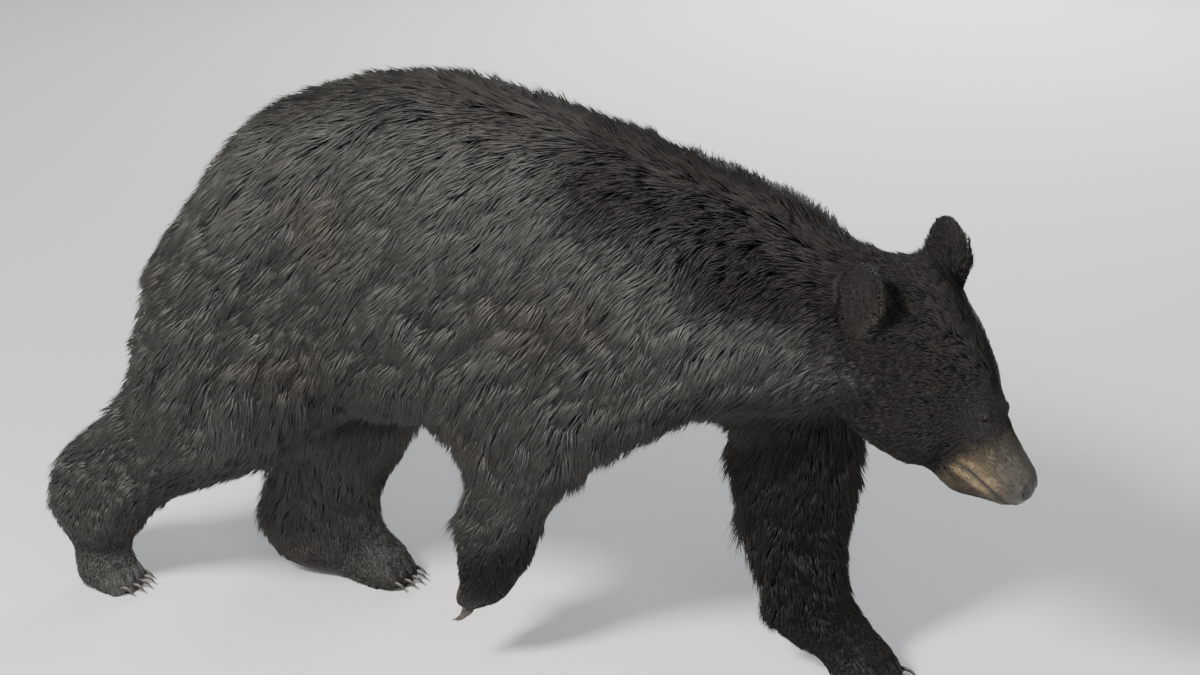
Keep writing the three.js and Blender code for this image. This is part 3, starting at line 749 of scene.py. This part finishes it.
def faceFields(spots):
    # where the tan of the muzzle, the dark bridge, the lips and the bare edges of the lids are, 0..1
    x, y, z = spots.T
    line = mouthLine(spots)
    inside = fall(np.hypot(y, z + muzzleDrop), *muzzle["inside"])
    ragged = waves(spots, *muzzle["waves"])
    border = muzzle["border"] - muzzle["slope"] * np.maximum(z, muzzle["lowest"]) + muzzle["ragged"] * ragged
    tan = rise(x, border, border + muzzle["fade"]) * inside
    height = z + muzzle["bridgeDrop"] * np.abs(y) + muzzle["bridgeRagged"] * ragged
    parts = {"bridge": rise(height, *muzzle["bridge"]) * fall(np.abs(y), *muzzle["bridgeOut"]),
             "lips": np.exp(-(line / muzzle["lipsWide"]) ** 2) * rise(x, *muzzle["lipsFrom"]),
             # the chin's darkening below the mouth is painted shade under the jaw
             "chin": rise(-line, *muzzle["chin"]), "front": rise(x, *muzzle["front"])}
    # painted shade: the tan darkens higher above the mouth
    shade = muzzle["pale"] + (1 - muzzle["pale"]) * fall(line, *muzzle["paleBelow"])
    for name, share in muzzle["darker"].items():
        shade = shade * (1 - share * parts[name])
    return {"tan": tan * shade, "bridge": tan * parts["bridge"], "lips": inside * parts["lips"],
            "lids": lidRims(spots)}


# inside the ears, where they face ahead, the hair is fuller by the first two and changes by the next two
earHair = {"depth": .0070, "length": .010, "width": .7, "gap": -.25, "facing": (.15, .65), "times": 3}


normals = surface.normals()
local = shapeEyes(shapeFace(toFace(surface.spots), normals @ faceAxes.T))
surface.spots = fromFace(local)
fields.update(faceFields(local))
# the head darkens behind the eyes: partly darker hair, partly painted shade
fields["darkCoatAndShade"] = np.maximum(darkCoatAndShadeOf(surface.spots, normals), rise(local[:, 0], *darkCoatAndShade["head"]))
fields["nosePad"] = surface.smooth(fields["nosePad"], skinPlan["padTimes"])
fields["rim"] = np.maximum(fields["lips"], fields["lids"])
pads = np.maximum(fields["nosePad"], fields["sole"])
fields["bare"] = np.maximum(pads, face["rimBare"] * fields["rim"])
inEar = onParts(ears, earHair["times"]) * rise(normals @ faceAxes[0], *earHair["facing"])
for key in ("depth", "length"):
    fields[key] += earHair[key] * inEar
for key in ("width", "gap"):
    fields[key] *= 1 + earHair[key] * inEar
legs = [name for name in legParts if name.startswith("leg")]
fields["onLeg"] = onParts(legs, skinPlan["legTimes"], skinPlan["share"])
normals = surface.normals()
lie = surface.smooth(combed(surface.spots, normals), lay["times"], skinPlan["share"])
lie = unit(lie - normals * dots(lie, normals)[:, None])
bend = surface.smooth(surface.bendAlong(normals, lie), lay["bendTimes"])
skin.data.vertices.foreach_set("co", surface.spots.astype(np.float32).ravel())
skin.data.update()
for name in (*markings, "nosePad", "sole", "rim"):
    setField(skin.data, name, fields[name])
for name in (*coatKeys, "part"):
    skin.data.attributes.remove(skin.data.attributes[name])
print("face is shaped")


# the pieces that stand for the frame's solids

def adopt(piece, slotName, *solids):
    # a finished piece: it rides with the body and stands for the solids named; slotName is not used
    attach(piece, "root")
    if solids:
        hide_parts(*solids)


def unwrap(piece):
    # cuts the skin's own shape into flat islands
    piece.data.uv_layers.new(name="OFBake")
    bpy.context.view_layer.objects.active = piece
    bpy.ops.object.mode_set(mode="EDIT")
    bpy.ops.mesh.select_all(action="SELECT")
    bpy.ops.uv.smart_project(angle_limit=math.radians(66), island_margin=.0004, margin_method="ADD")
    bpy.ops.object.mode_set(mode="OBJECT")


adopt(skin, "coat", *flesh)
unwrap(skin)
print("skin is unwrapped")


# the coat

tuft = {
    "seed": 11,
    "along": .40, "thick": .45,       # where its ring lies from root to tip, and its thickness per width
    "thin": (.002, .015),             # lengths over which it grows to that thickness
    "most": 32500,                    # tufts in one piece
    "bare": (.25, .6),                # where they start to thin out on bare skin, and where they end
    "turn": 16, "stray": 6,           # degrees the lie sways in waves, and each tuft by itself
    "waves": (.085, .034), "waveSeed": 20,  # sizes of those waves, and the first one's seed
    "swayFrom": .02,                  # the length from which tufts sway
    "lengths": (.78, 1.12),           # least and most, as shares of the length
    "lift": (.92, 1.20),              # how high the tips stand, as a share of the coat's depth
    "flat": .50, "flatTo": (.007, .020),  # and the share of that where the coat is short, up to which length
    "run": .5, "bend": (-9, 30),      # the least share that runs along the skin, and limits of its bend
    "sink": (.0008, .04),             # how deep a root starts: at most, and as a share of the length
    "ripples": (.034, .080),          # widths of the long waves drawn out along the lie
    "drawn": .75, "rippleFull": .75, "rippleSeed": 31,  # how far they are drawn out, their strength and seed
    "rippleLift": (.30, .4),          # what they add to the lift: swell * (wave - start)
    "rippleTint": .46,                # and to the tint
    "clump": 34,                      # tufts that share a leader
    "gather": (.14, .46),             # how far their tips go toward the leader's
    "gatherFrom": (.008, .03), "gatherNear": (.022, .034),  # for which lengths, and how near the leader
    "ownTint": .3,                    # how much of the tint is a tuft's own, the rest is its leader's
    "fringe": .75, "fringeLeast": .2, # how much longer it is behind the legs, and the least share of that
    "fringeFacing": (.15, .75), "fringeOn": (.5, .95),  # how far the leg faces back, and how far on it
    "floor": .0008,                   # nothing hangs lower
    "patch": .003,                    # width of a tuft on the unwrap
}
regions = {
    "head": headParts + eyeNames,
    "neck": ["neck"],
    "body": ["trunk", "tail"],
    "thigh": ["thigh_right", "thigh_left"],
    "front": [name for name in legParts if "front" in name],
    "hind": [name for name in legParts if "hind" in name],
}


def triangleUvs(mesh):
    # the place of each triangle's three corners on the unwrap
    places = readRows(mesh.uv_layers["OFBake"].data, "uv", 2, np.float32)
    return places[readRows(mesh.loop_triangles, "loops", 3, np.int32)]


def sowRoots(chance):
    # tufts per triangle by chance, with a mean of area / gap^2, fewer where the skin is bare
    corners = surface.spots[surface.faces]
    area = np.linalg.norm(np.cross(corners[:, 1] - corners[:, 0], corners[:, 2] - corners[:, 0]), axis=1) / 2
    gap, bare = (fields[key][surface.faces].mean(1) for key in ("gap", "bare"))
    expected = area / gap ** 2 * fall(bare, *tuft["bare"])
    owner = np.repeat(np.arange(len(area)), chance.poisson(expected))
    share = np.sort(chance.uniform(size=(len(owner), 2)), axis=1)
    return owner, np.stack([share[:, 0], share[:, 1] - share[:, 0], 1 - share[:, 1]], -1)


def turned(directions, axes, angles):
    # each direction turned about its axis
    across = np.cross(axes, directions)
    return directions * np.cos(angles)[:, None] + across * np.sin(angles)[:, None]


def nearestLeader(spots, leaders, block=2000):
    # the number of the closest leader to each spot, by |spot|^2 - 2 spot . leader + |leader|^2
    found = np.empty(len(spots), int)
    for start in range(0, len(spots), block):
        some = spots[start:start + block].astype(np.float32)
        apart = (some ** 2).sum(1)[:, None] - 2 * some @ leaders.T + (leaders ** 2).sum(1)
        found[start:start + block] = apart.argmin(1)
    return found


def ripplesOf(roots):
    # waves drawn out along the lie of the coat: full * noise at (place - drawn * its part along the lie)
    along = dots(roots["at"], roots["lie"])[:, None]
    places = roots["at"] - tuft["drawn"] * roots["lie"] * along
    seed = tuft["rippleSeed"]
    both = sum(waves(places, size, seed + number) for number, size in enumerate(tuft["ripples"]))
    return np.clip(tuft["rippleFull"] * both, -1, 1)


def tuftLines(roots, chance):
    # the middle line of each tuft at its root, ring and tip: along the lie, and up by
    # lift * (1 - (1 - s)^2), less half the skin's bend * distance^2, then drawn to its leader by s^2
    count = len(roots["at"])
    sway = np.zeros(count)
    for number, size in enumerate(tuft["waves"]):
        swing = waves(roots["at"], size, tuft["waveSeed"] + number) * tuft["turn"]
        sway += swing * (roots["length"] > tuft["swayFrom"])
    sway += chance.normal(0, tuft["stray"], count)
    flow = turned(roots["lie"], roots["normal"], np.radians(sway))
    ragged = 1 + tuft["fringe"] * roots["fringe"]
    full = tuft["flat"] + (1 - tuft["flat"]) * rise(roots["length"], *tuft["flatTo"])
    swell, start = tuft["rippleLift"]
    lift = roots["depth"] * chance.uniform(*tuft["lift"], count) * ragged * full
    lift *= 1 + swell * (ripplesOf(roots) - start)
    length = roots["length"] * chance.uniform(*tuft["lengths"], count) * ragged
    reach = np.sqrt(np.maximum(length ** 2 - lift ** 2, (length * tuft["run"]) ** 2))
    bend = np.clip(roots["bend"], *tuft["bend"])
    sink = np.minimum(tuft["sink"][0], tuft["sink"][1] * length)
    stations = (0, tuft["along"], 1)
    lines = []
    for s in stations:
        up = lift * (1 - (1 - s) ** 2) - bend / 2 * (reach * s) ** 2 - sink * (s == 0)
        lines.append(roots["at"] + flow * (reach * s)[:, None] + roots["normal"] * up[:, None])
    leaders = chance.choice(count, max(count // tuft["clump"], 1), replace=False)
    leader = leaders[nearestLeader(roots["at"], roots["at"][leaders].astype(np.float32))]
    near = fall(np.linalg.norm(roots["at"] - roots["at"][leader], axis=1), *tuft["gatherNear"])
    share = near * chance.uniform(*tuft["gather"], count) * rise(roots["length"], *tuft["gatherFrom"])
    pull = (lines[-1][leader] - lines[-1]) * share[:, None]
    return [line + pull * s ** 2 for line, s in zip(lines, stations)], leader


def tuftMesh(name, roots, chance):
    # five corners and six triangles for each tuft: a point, a ring of three, and a point
    lines, leader = tuftLines(roots, chance)
    count = len(leader)
    run = unit(lines[2] - lines[0])
    side = unit(np.cross(run, roots["normal"]))
    top = np.cross(side, run)
    half = (roots["width"] / 2)[:, None]
    thick = half * 2 * tuft["thick"] * rise(roots["length"], *tuft["thin"])[:, None]
    ring = [lines[1] + side * half, lines[1] - side * half, lines[1] + top * thick]
    spots = np.stack([lines[0], *ring, lines[2]], 1).reshape(-1, 3)
    spots[:, 2] = np.maximum(spots[:, 2], tuft["floor"])
    pattern = np.array([(0, 2, 1), (0, 3, 2), (0, 1, 3), (1, 2, 4), (2, 3, 4), (3, 1, 4)])
    faces = (np.arange(count)[:, None, None] * 5 + pattern).reshape(-1, 3)
    piece = meshFrom(name, spots, faces)
    along = tuft["along"]
    flat = (np.array([(0, 0), (-.5, along), (.5, along), (0, along), (0, 1)]) - [0, .5]) * tuft["patch"]
    places = roots["uv"][:, None, :] + flat[pattern.ravel()]
    piece.data.uv_layers.new(name="OFBake").data.foreach_set("uv", places.astype(np.float32).ravel())
    setField(piece.data, "along", np.tile([0, along, along, along, 1], count))
    own = tuft["ownTint"]
    tint = own * chance.uniform(size=count) + (1 - own) * chance.uniform(size=count)[leader]
    tint = np.clip(tint + tuft["rippleTint"] * ripplesOf(roots), 0, 1)
    for key, values in (("tint", tint), *((key, roots[key]) for key in markings)):
        setField(piece.data, key, np.repeat(values, 5))
    return piece


def growCoat():
    # what a root carries is the mean over its triangle's corners, each by the root's share of it
    chance = np.random.default_rng(tuft["seed"])
    owner, share = sowRoots(chance)
    corner = surface.faces[owner]
    share = share[:, :, None]
    roots = {"at": (surface.spots[corner] * share).sum(1),
             "normal": unit((normals[corner] * share).sum(1)),
             "lie": unit((lie[corner] * share).sum(1)),
             "uv": (triangleUvs(skin.data)[owner] * share).sum(1),
             "part": np.rint(fields["part"][corner[:, 0]]).astype(int),
             "bend": (bend[corner] * share[:, :, 0]).sum(1)}
    for key in ("depth", "length", "width", "onLeg", *markings):
        roots[key] = (fields[key][corner] * share[:, :, 0]).sum(1)
    behind = rise(-roots["normal"][:, 0], *tuft["fringeFacing"]) * rise(roots["onLeg"], *tuft["fringeOn"])
    roots["fringe"] = behind * chance.uniform(tuft["fringeLeast"], 1, len(owner))
    names = flesh + eyeNames
    pieces = []
    for region, members in regions.items():
        inRegion = np.isin(roots["part"], [names.index(member) for member in members])
        for side, onSide in (("right", roots["at"][:, 1] < 0), ("left", roots["at"][:, 1] >= 0)):
            mine = np.nonzero(inRegion & onSide)[0]
            mine = mine[np.argsort(roots["at"][mine, 0])]
            parts = np.array_split(mine, max(math.ceil(len(mine) / tuft["most"]), 1))
            for number, chosen in enumerate(parts, 1):
                some = {key: values[chosen] for key, values in roots.items()}
                pieces.append(tuftMesh(f"coat_{region}_{side}_{number}", some, chance))
        print(f"coat of the {region} has grown, {int(inRegion.sum())} tufts")
    return pieces


coatPieces = growCoat()
for piece in coatPieces:
    adopt(piece, "coat")
print("coat has", sum(len(piece.data.polygons) for piece in coatPieces), "triangles")


# eyes

eyeBall = {"turns": 40, "rings": 28, "iris": .62, "cornea": .10, "fit": .985}


def makeEye(side, name):
    # a ball with a bulge in front: radius * fit * (1 + cornea * (1 - (angle / iris)^2)^2)
    gaze, lids, upward = (axis @ faceAxes for axis in eyeAxes(side))
    angles = np.linspace(0, np.pi, eyeBall["rings"] + 1)
    turns = np.linspace(0, 2 * np.pi, eyeBall["turns"], endpoint=False)
    bulge = np.clip(1 - (angles / eyeBall["iris"]) ** 2, 0, 1) ** 2 * eyeBall["cornea"]
    radius = face["eyeRound"] * (1 + bulge) * eyeBall["fit"]
    ring = np.cos(turns)[:, None] * lids + np.sin(turns)[:, None] * upward
    body = gaze * np.cos(angles[1:-1])[:, None, None] + ring * np.sin(angles[1:-1])[:, None, None]
    body = (body * radius[1:-1][:, None, None]).reshape(-1, 3)
    spots = np.vstack([body, gaze * radius[0], -gaze * radius[-1]]) + fromFace(eyeCentre(side))
    count, size = eyeBall["turns"], len(body)
    here = np.arange(count)
    there = (here + 1) % count
    rows = np.arange(eyeBall["rings"] - 2)[:, None] * count
    below = rows + count
    quads = np.stack([rows + here, below + here, below + there, rows + there], -1).reshape(-1, 4)
    faces = np.vstack([quads[:, [0, 1, 2]], quads[:, [0, 2, 3]],
                       np.stack([np.full(count, size), here, there], -1),
                       np.stack([np.full(count, size + 1), size - count + there, size - count + here], -1)])
    piece = meshFrom(name, spots, faces)
    setField(piece.data, "angle", np.append(np.repeat(angles[1:-1], count), [0, np.pi]))
    return piece


eyes = [makeEye(sign, f"eyeball_{side}") for side, sign in (("right", -1), ("left", 1))]
for piece, side in zip(eyes, ("right", "left")):
    edit(piece.data, lambda opened: bmesh.ops.recalc_face_normals(opened, faces=opened.faces))
    adopt(piece, "eye", f"eye_{side}")
print("eyes are set")


# claws

clawPlan = {"swell": .0005, "flat": (.9, 1.2), "rounds": 2}  # metres, radians, levels of rounding


def makeClaws(foot):
    # the five claws of a foot in one mesh, their facets rounded, and swollen to make up for the rounding
    joined = bmesh.new()
    names = [f"claw_{foot}_{n}" for n in range(1, 6)]
    for name in names:
        joined.from_mesh(nodes[name].data)
    bmesh.ops.remove_doubles(joined, verts=joined.verts, dist=1e-5)
    bmesh.ops.join_triangles(joined, faces=joined.faces, angle_face_threshold=clawPlan["flat"][0],
                             angle_shape_threshold=clawPlan["flat"][1])
    bmesh.ops.recalc_face_normals(joined, faces=joined.faces)
    joined.normal_update()
    for corner in joined.verts:
        corner.co += corner.normal * clawPlan["swell"]
    mesh = bpy.data.meshes.new(f"claws_{foot}")
    joined.to_mesh(mesh)
    joined.free()
    mesh.polygons.foreach_set("use_smooth", np.ones(len(mesh.polygons), bool))
    piece = bpy.data.objects.new(f"claws_{foot}", mesh)
    bpy.context.scene.collection.objects.link(piece)
    rounding = piece.modifiers.new("rounding", "SUBSURF")
    rounding.levels = rounding.render_levels = clawPlan["rounds"]
    adopt(piece, "claw", *names)
    return piece


claws = [makeClaws(foot) for foot in feet]
print("claws are rounded")


# materials: arithmetic on wires makes their nodes

class Wire:
    # a socket of a shader; sums and products of wires make Math nodes, or Vector Math where one is a vector

    def __init__(self, tree, socket=None):
        self.tree, self.socket = tree, socket

    def node(self, kind, settings=None, inputs=None, output=0):
        # a node of that kind: its settings, then a number, colour or wire on each socket named
        made = self.tree.nodes.new("ShaderNode" + kind)
        for key, value in (settings or {}).items():
            setattr(made, key, value)
        for key, value in (inputs or {}).items():
            if isinstance(value, Wire):
                self.tree.links.new(value.socket, made.inputs[key])
            elif isinstance(value, tuple) and made.inputs[key].type == "RGBA":
                made.inputs[key].default_value = (*value, 1)
            else:
                made.inputs[key].default_value = value
        return Wire(self.tree, made.outputs[output])

    def isVector(self):
        return self.socket.type in ("VECTOR", "RGBA")

    def work(self, operation, *values):
        # one operation on numbers and wires
        if any(isinstance(value, tuple) or isinstance(value, Wire) and value.isVector() for value in values):
            spread = [(value,) * 3 if isinstance(value, (int, float)) else value for value in values]
            return self.node("VectorMath", {"operation": operation}, dict(enumerate(spread)))
        return self.node("Math", {"operation": operation}, dict(enumerate(values)))

    def __add__(self, other):
        return self.work("ADD", self, other)

    def __radd__(self, other):
        return self.work("ADD", other, self)

    def __sub__(self, other):
        return self.work("SUBTRACT", self, other)

    def __rsub__(self, other):
        return self.work("SUBTRACT", other, self)

    def __mul__(self, other):
        return self.work("MULTIPLY", self, other)

    def __rmul__(self, other):
        return self.work("MULTIPLY", other, self)

    def between(self, start, end):
        # 0 below start, 1 above end, smooth between them
        return self.node("MapRange", {"interpolation_type": "SMOOTHSTEP"},
                         {"Value": self, "From Min": start, "From Max": end})

    def mix(self, low, high):
        # the colour low where this is 0, high where it is 1
        return self.node("Mix", {"data_type": "RGBA"}, {0: self, 6: low, 7: high}, 2)

    def along(self, direction):
        # the dot product
        return self.node("VectorMath", {"operation": "DOT_PRODUCT"}, {0: self, 1: direction}, 1)

    def noise(self, scale, detail=2, roughness=.5, stretch=None):
        place = self * stretch if stretch else self
        return self.node("TexNoise", None, {"Vector": place, "Scale": scale, "Detail": detail,
                                            "Roughness": roughness})

    def cells(self, scale):
        return self.node("TexVoronoi", None, {"Vector": self, "Scale": scale})


def newMaterial(name):
    # an empty material, and a wire of its tree to work from
    material = bpy.data.materials.new(name)
    material.use_nodes = True
    material.node_tree.nodes.clear()
    return material, Wire(material.node_tree)


def field(wire, name, output=2):
    # an attribute of the mesh: output 2 is a number, 1 a vector
    return wire.node("Attribute", {"attribute_name": name}, None, output)


def placeOf(wire):
    # the place on the object, whose axes are the frame's
    return wire.node("TexCoord", None, None, 3)


def finishMaterial(wire, bumps, **settings):
    # the surface shader, with bumps as pairs of a height and the metres it stands for
    normal = None
    for height, distance in bumps:
        inputs = {"Height": height, "Distance": distance, "Strength": 1.0}
        if normal:
            inputs["Normal"] = normal
        normal = wire.node("Bump", None, inputs)
    inputs = {key.replace("_", " "): value for key, value in settings.items()}
    if normal:
        inputs["Normal"] = normal
    shader = wire.node("BsdfPrincipled", None, inputs)
    out = wire.tree.nodes.new("ShaderNodeOutputMaterial")
    wire.tree.links.new(shader.socket, out.inputs["Surface"])


coatColours = {
    # root darker than tip: painted shade among the hairs; the grey tip is partly painted sheen on black hair
    "root": (.0210, .0202, .0186), "tip": (.066, .0655, .0615),
    # dusk: the dark of darker hair and of painted shade on the head, withers, top of the back and underside
    "brown": (.058, .048, .039), "darkCoatAndShade": (.0060, .0048, .0038),
    "tan": (.190, .147, .088), "tanRoot": (.090, .068, .042), "bridge": (.030, .026, .0205),
    # nose: a dark grey pad, partly painted sheen
    "nose": (.020, .0185, .018), "sole": (.022, .018, .016), "rim": (.0055, .0048, .0045),
}
hairLook = {
    "tip": .7, "tint": .5,                       # how far place along a hair and its tint take it to the tip
    "patches": 5.5, "patchEdge": (.52, .85),     # scale of the brown patches, where they start and are full
    "mottle": 75, "mottleEdge": (.38, .62),      # the same for the mottling of the tan
    "mottleShare": .7, "tanTint": .4,            # and how much it and the tint do to the tan
    "darkCoatAndShadeShare": .9,                             # how far the darker hair and painted shade go
    "rough": .50, "roughTint": .16, "gloss": .20,
}


def coatColour(wire, along, tint):
    # black-brown hairs, darker at the roots as painted shade among them and greyer at the tips partly as
    # painted sheen, brown in soft patches, darker on the head and withers partly as painted shade, painted
    # shade on top of the back and on the underside, tan on the muzzle
    place = placeOf(wire)
    tanPart, bridgePart, darkCoatAndShadePart = (field(wire, name) for name in markings)
    patches = place.noise(hairLook["patches"], detail=3).between(*hairLook["patchEdge"])
    # root to tip: painted shade at the roots, painted sheen in the greyer tips
    plain = (along * hairLook["tip"] + tint * hairLook["tint"]).mix(coatColours["root"], coatColours["tip"])
    # mixes in the darker hair and painted shade of the head, withers, top of the back and underside
    brown = (patches * tint).mix(plain, coatColours["brown"])
    dark = (darkCoatAndShadePart * hairLook["darkCoatAndShadeShare"]).mix(brown, coatColours["darkCoatAndShade"])
    mottled = place.noise(hairLook["mottle"], detail=3).between(*hairLook["mottleEdge"])
    mottled = mottled * hairLook["mottleShare"]
    sandy = (mottled + tint * hairLook["tanTint"]).mix(coatColours["tanRoot"], coatColours["tan"])
    return bridgePart.mix(tanPart.mix(dark, sandy), coatColours["bridge"])


def makeCoatMaterial():
    material, wire = newMaterial("coat hair")
    along, tint = field(wire, "along"), field(wire, "tint")
    colour = coatColour(wire, along, tint)
    rough = hairLook["rough"] + tint * hairLook["roughTint"]
    finishMaterial(wire, [], Base_Color=colour, Roughness=rough, Specular_IOR_Level=hairLook["gloss"])
    return material


skinLook = {
    "strands": 1500, "locks": 420, "drawn": .86,         # scales of the hair's relief, drawn along the lie
    "strandsHigh": .5, "locksHigh": .5, "tip": .8,       # and how far the strands take it to the tip's colour
    "pebbles": 420, "pebblesHigh": .8,                   # on the nose
    "creases": 160, "creasesHigh": 1.5,                  # on the soles
    "relief": .0009, "gloss": .35,
    "rough": .55, "padRough": -.22, "soleRough": .2, "rimRough": .2,
}


def makeSkinMaterial():
    # short flat hair in relief along the lie of the coat, pebbled on the nose, creased on the soles
    material, wire = newMaterial("skin")
    place = placeOf(wire)
    flow = field(wire, "lie", 1)
    drawn = place - flow * (place.along(flow) * skinLook["drawn"])
    strands = drawn.noise(skinLook["strands"], detail=3, roughness=.6)
    locks = drawn.noise(skinLook["locks"])
    pad, sole, rim = field(wire, "nosePad"), field(wire, "sole"), field(wire, "rim")
    hair = rim.mix(coatColour(wire, strands * skinLook["tip"], locks), coatColours["rim"])
    colour = sole.mix(pad.mix(hair, coatColours["nose"]), coatColours["sole"])
    hairy = (1 - wire.work("MAXIMUM", pad, sole)) * (1 - rim)
    pebbles = place.cells(skinLook["pebbles"]) * pad * skinLook["pebblesHigh"]
    creases = place.noise(skinLook["creases"], detail=4, roughness=.6) * sole * skinLook["creasesHigh"]
    rough = skinLook["rough"] + pad * skinLook["padRough"]
    rough = rough + sole * skinLook["soleRough"] + rim * skinLook["rimRough"]
    relief = strands * skinLook["strandsHigh"] + locks * skinLook["locksHigh"]
    height = relief * hairy + pebbles + creases
    bumps = [(height, skinLook["relief"])]
    finishMaterial(wire, bumps, Base_Color=colour, Roughness=rough, Specular_IOR_Level=skinLook["gloss"])
    return material


# angles from the middle of the gaze, in radians: where the pupil ends, and the iris
eyeLook = {
    "pupilEdge": (.27, .32), "irisEdge": (.52, .62), "fibres": 900,
    "iris": ((.010, .0055, .0030), (.022, .011, .0055)),
    "pupil": (.002, .002, .002), "white": (.006, .005, .004),
    "rough": .05, "whiteRough": .15, "gloss": .13,
}


def makeEyeMaterial():
    material, wire = newMaterial("eye")
    angle = field(wire, "angle")
    fibres = placeOf(wire).noise(eyeLook["fibres"], detail=3)
    outside = angle.between(*eyeLook["irisEdge"])
    iris = angle.between(*eyeLook["pupilEdge"]).mix(eyeLook["pupil"], fibres.mix(*eyeLook["iris"]))
    colour = outside.mix(iris, eyeLook["white"])
    rough = eyeLook["rough"] + outside * eyeLook["whiteRough"]
    finishMaterial(wire, [], Base_Color=colour, Roughness=rough, Specular_IOR_Level=eyeLook["gloss"])
    return material


clawLook = {
    "streaks": 300, "stretch": (.25, 1, 1), "edge": (.35, .7), "relief": .0004,
    "dark": (.012, .010, .009), "pale": (.050, .040, .031), "rough": .32, "roughStreaks": .2,
}


def makeClawMaterial():
    material, wire = newMaterial("claw horn")
    streaks = placeOf(wire).noise(clawLook["streaks"], detail=4, roughness=.6, stretch=clawLook["stretch"])
    colour = streaks.between(*clawLook["edge"]).mix(clawLook["dark"], clawLook["pale"])
    rough = clawLook["rough"] + streaks * clawLook["roughStreaks"]
    finishMaterial(wire, [(streaks, clawLook["relief"])], Base_Color=colour, Roughness=rough)
    return material


floorLook = {
    "grain": 60, "relief": .0004, "rough": .8, "roughGrain": .1,
    "dark": (.58, .57, .55), "pale": (.63, .62, .60),
}


def makeFloorMaterial():
    material, wire = newMaterial("floor")
    grain = placeOf(wire).noise(floorLook["grain"], detail=4)
    colour = grain.mix(floorLook["dark"], floorLook["pale"])
    rough = floorLook["rough"] + grain * floorLook["roughGrain"]
    finishMaterial(wire, [(grain, floorLook["relief"])], Base_Color=colour, Roughness=rough)
    return material


lieField = skin.data.attributes.new("lie", "FLOAT_VECTOR", "POINT")
lieField.data.foreach_set("vector", lie.astype(np.float32).ravel())
hairMaterial = makeCoatMaterial()
for piece in coatPieces:
    piece.data.materials.append(hairMaterial)
skin.data.materials.append(makeSkinMaterial())
for pieces, material in ((eyes, makeEyeMaterial()), (claws, makeClawMaterial())):
    for piece in pieces:
        piece.data.materials.append(material)
print("materials are made")


# floor and lamps

studio = {
    "floor": 9.0, "aim": (0, 0, .5),  # metres from the middle to an edge, and what the lamps point at
    "world": (.62, .66, .72), "worldStrength": .70,
    "key": {"at": (-.7, -3.3, 3.2), "size": 1.0, "power": 500, "colour": (1, .96, .90)},
    "fill": {"at": (2.6, -3.4, 1.8), "size": 3.0, "power": 135, "colour": (.86, .92, 1)},
    "back": {"at": (-.6, 4.0, 1.5), "size": 2.6, "power": 140, "colour": (.95, .97, 1)},
}


def makeStudio():
    half = studio["floor"]
    sheet = np.array([(-half, -half, 0), (half, -half, 0), (half, half, 0), (-half, half, 0)], float)
    floor = meshFrom("floor", sheet, np.array([[0, 1, 2, 3]]))
    floor.data.materials.append(makeFloorMaterial())
    for name in ("key", "fill", "back"):
        facts = studio[name]
        lamp = bpy.data.lights.new(name, "AREA")
        lamp.shape = "DISK"
        lamp.size, lamp.energy, lamp.color = facts["size"], facts["power"], facts["colour"]
        light = bpy.data.objects.new(name, lamp)
        bpy.context.scene.collection.objects.link(light)
        lookTowards(light, facts["at"], studio["aim"])
    world = bpy.data.worlds.new("world")
    world.use_nodes = True
    world.node_tree.nodes["Background"].inputs["Color"].default_value = (*studio["world"], 1)
    world.node_tree.nodes["Background"].inputs["Strength"].default_value = studio["worldStrength"]
    bpy.context.scene.world = world


makeStudio()
print("studio is lit")
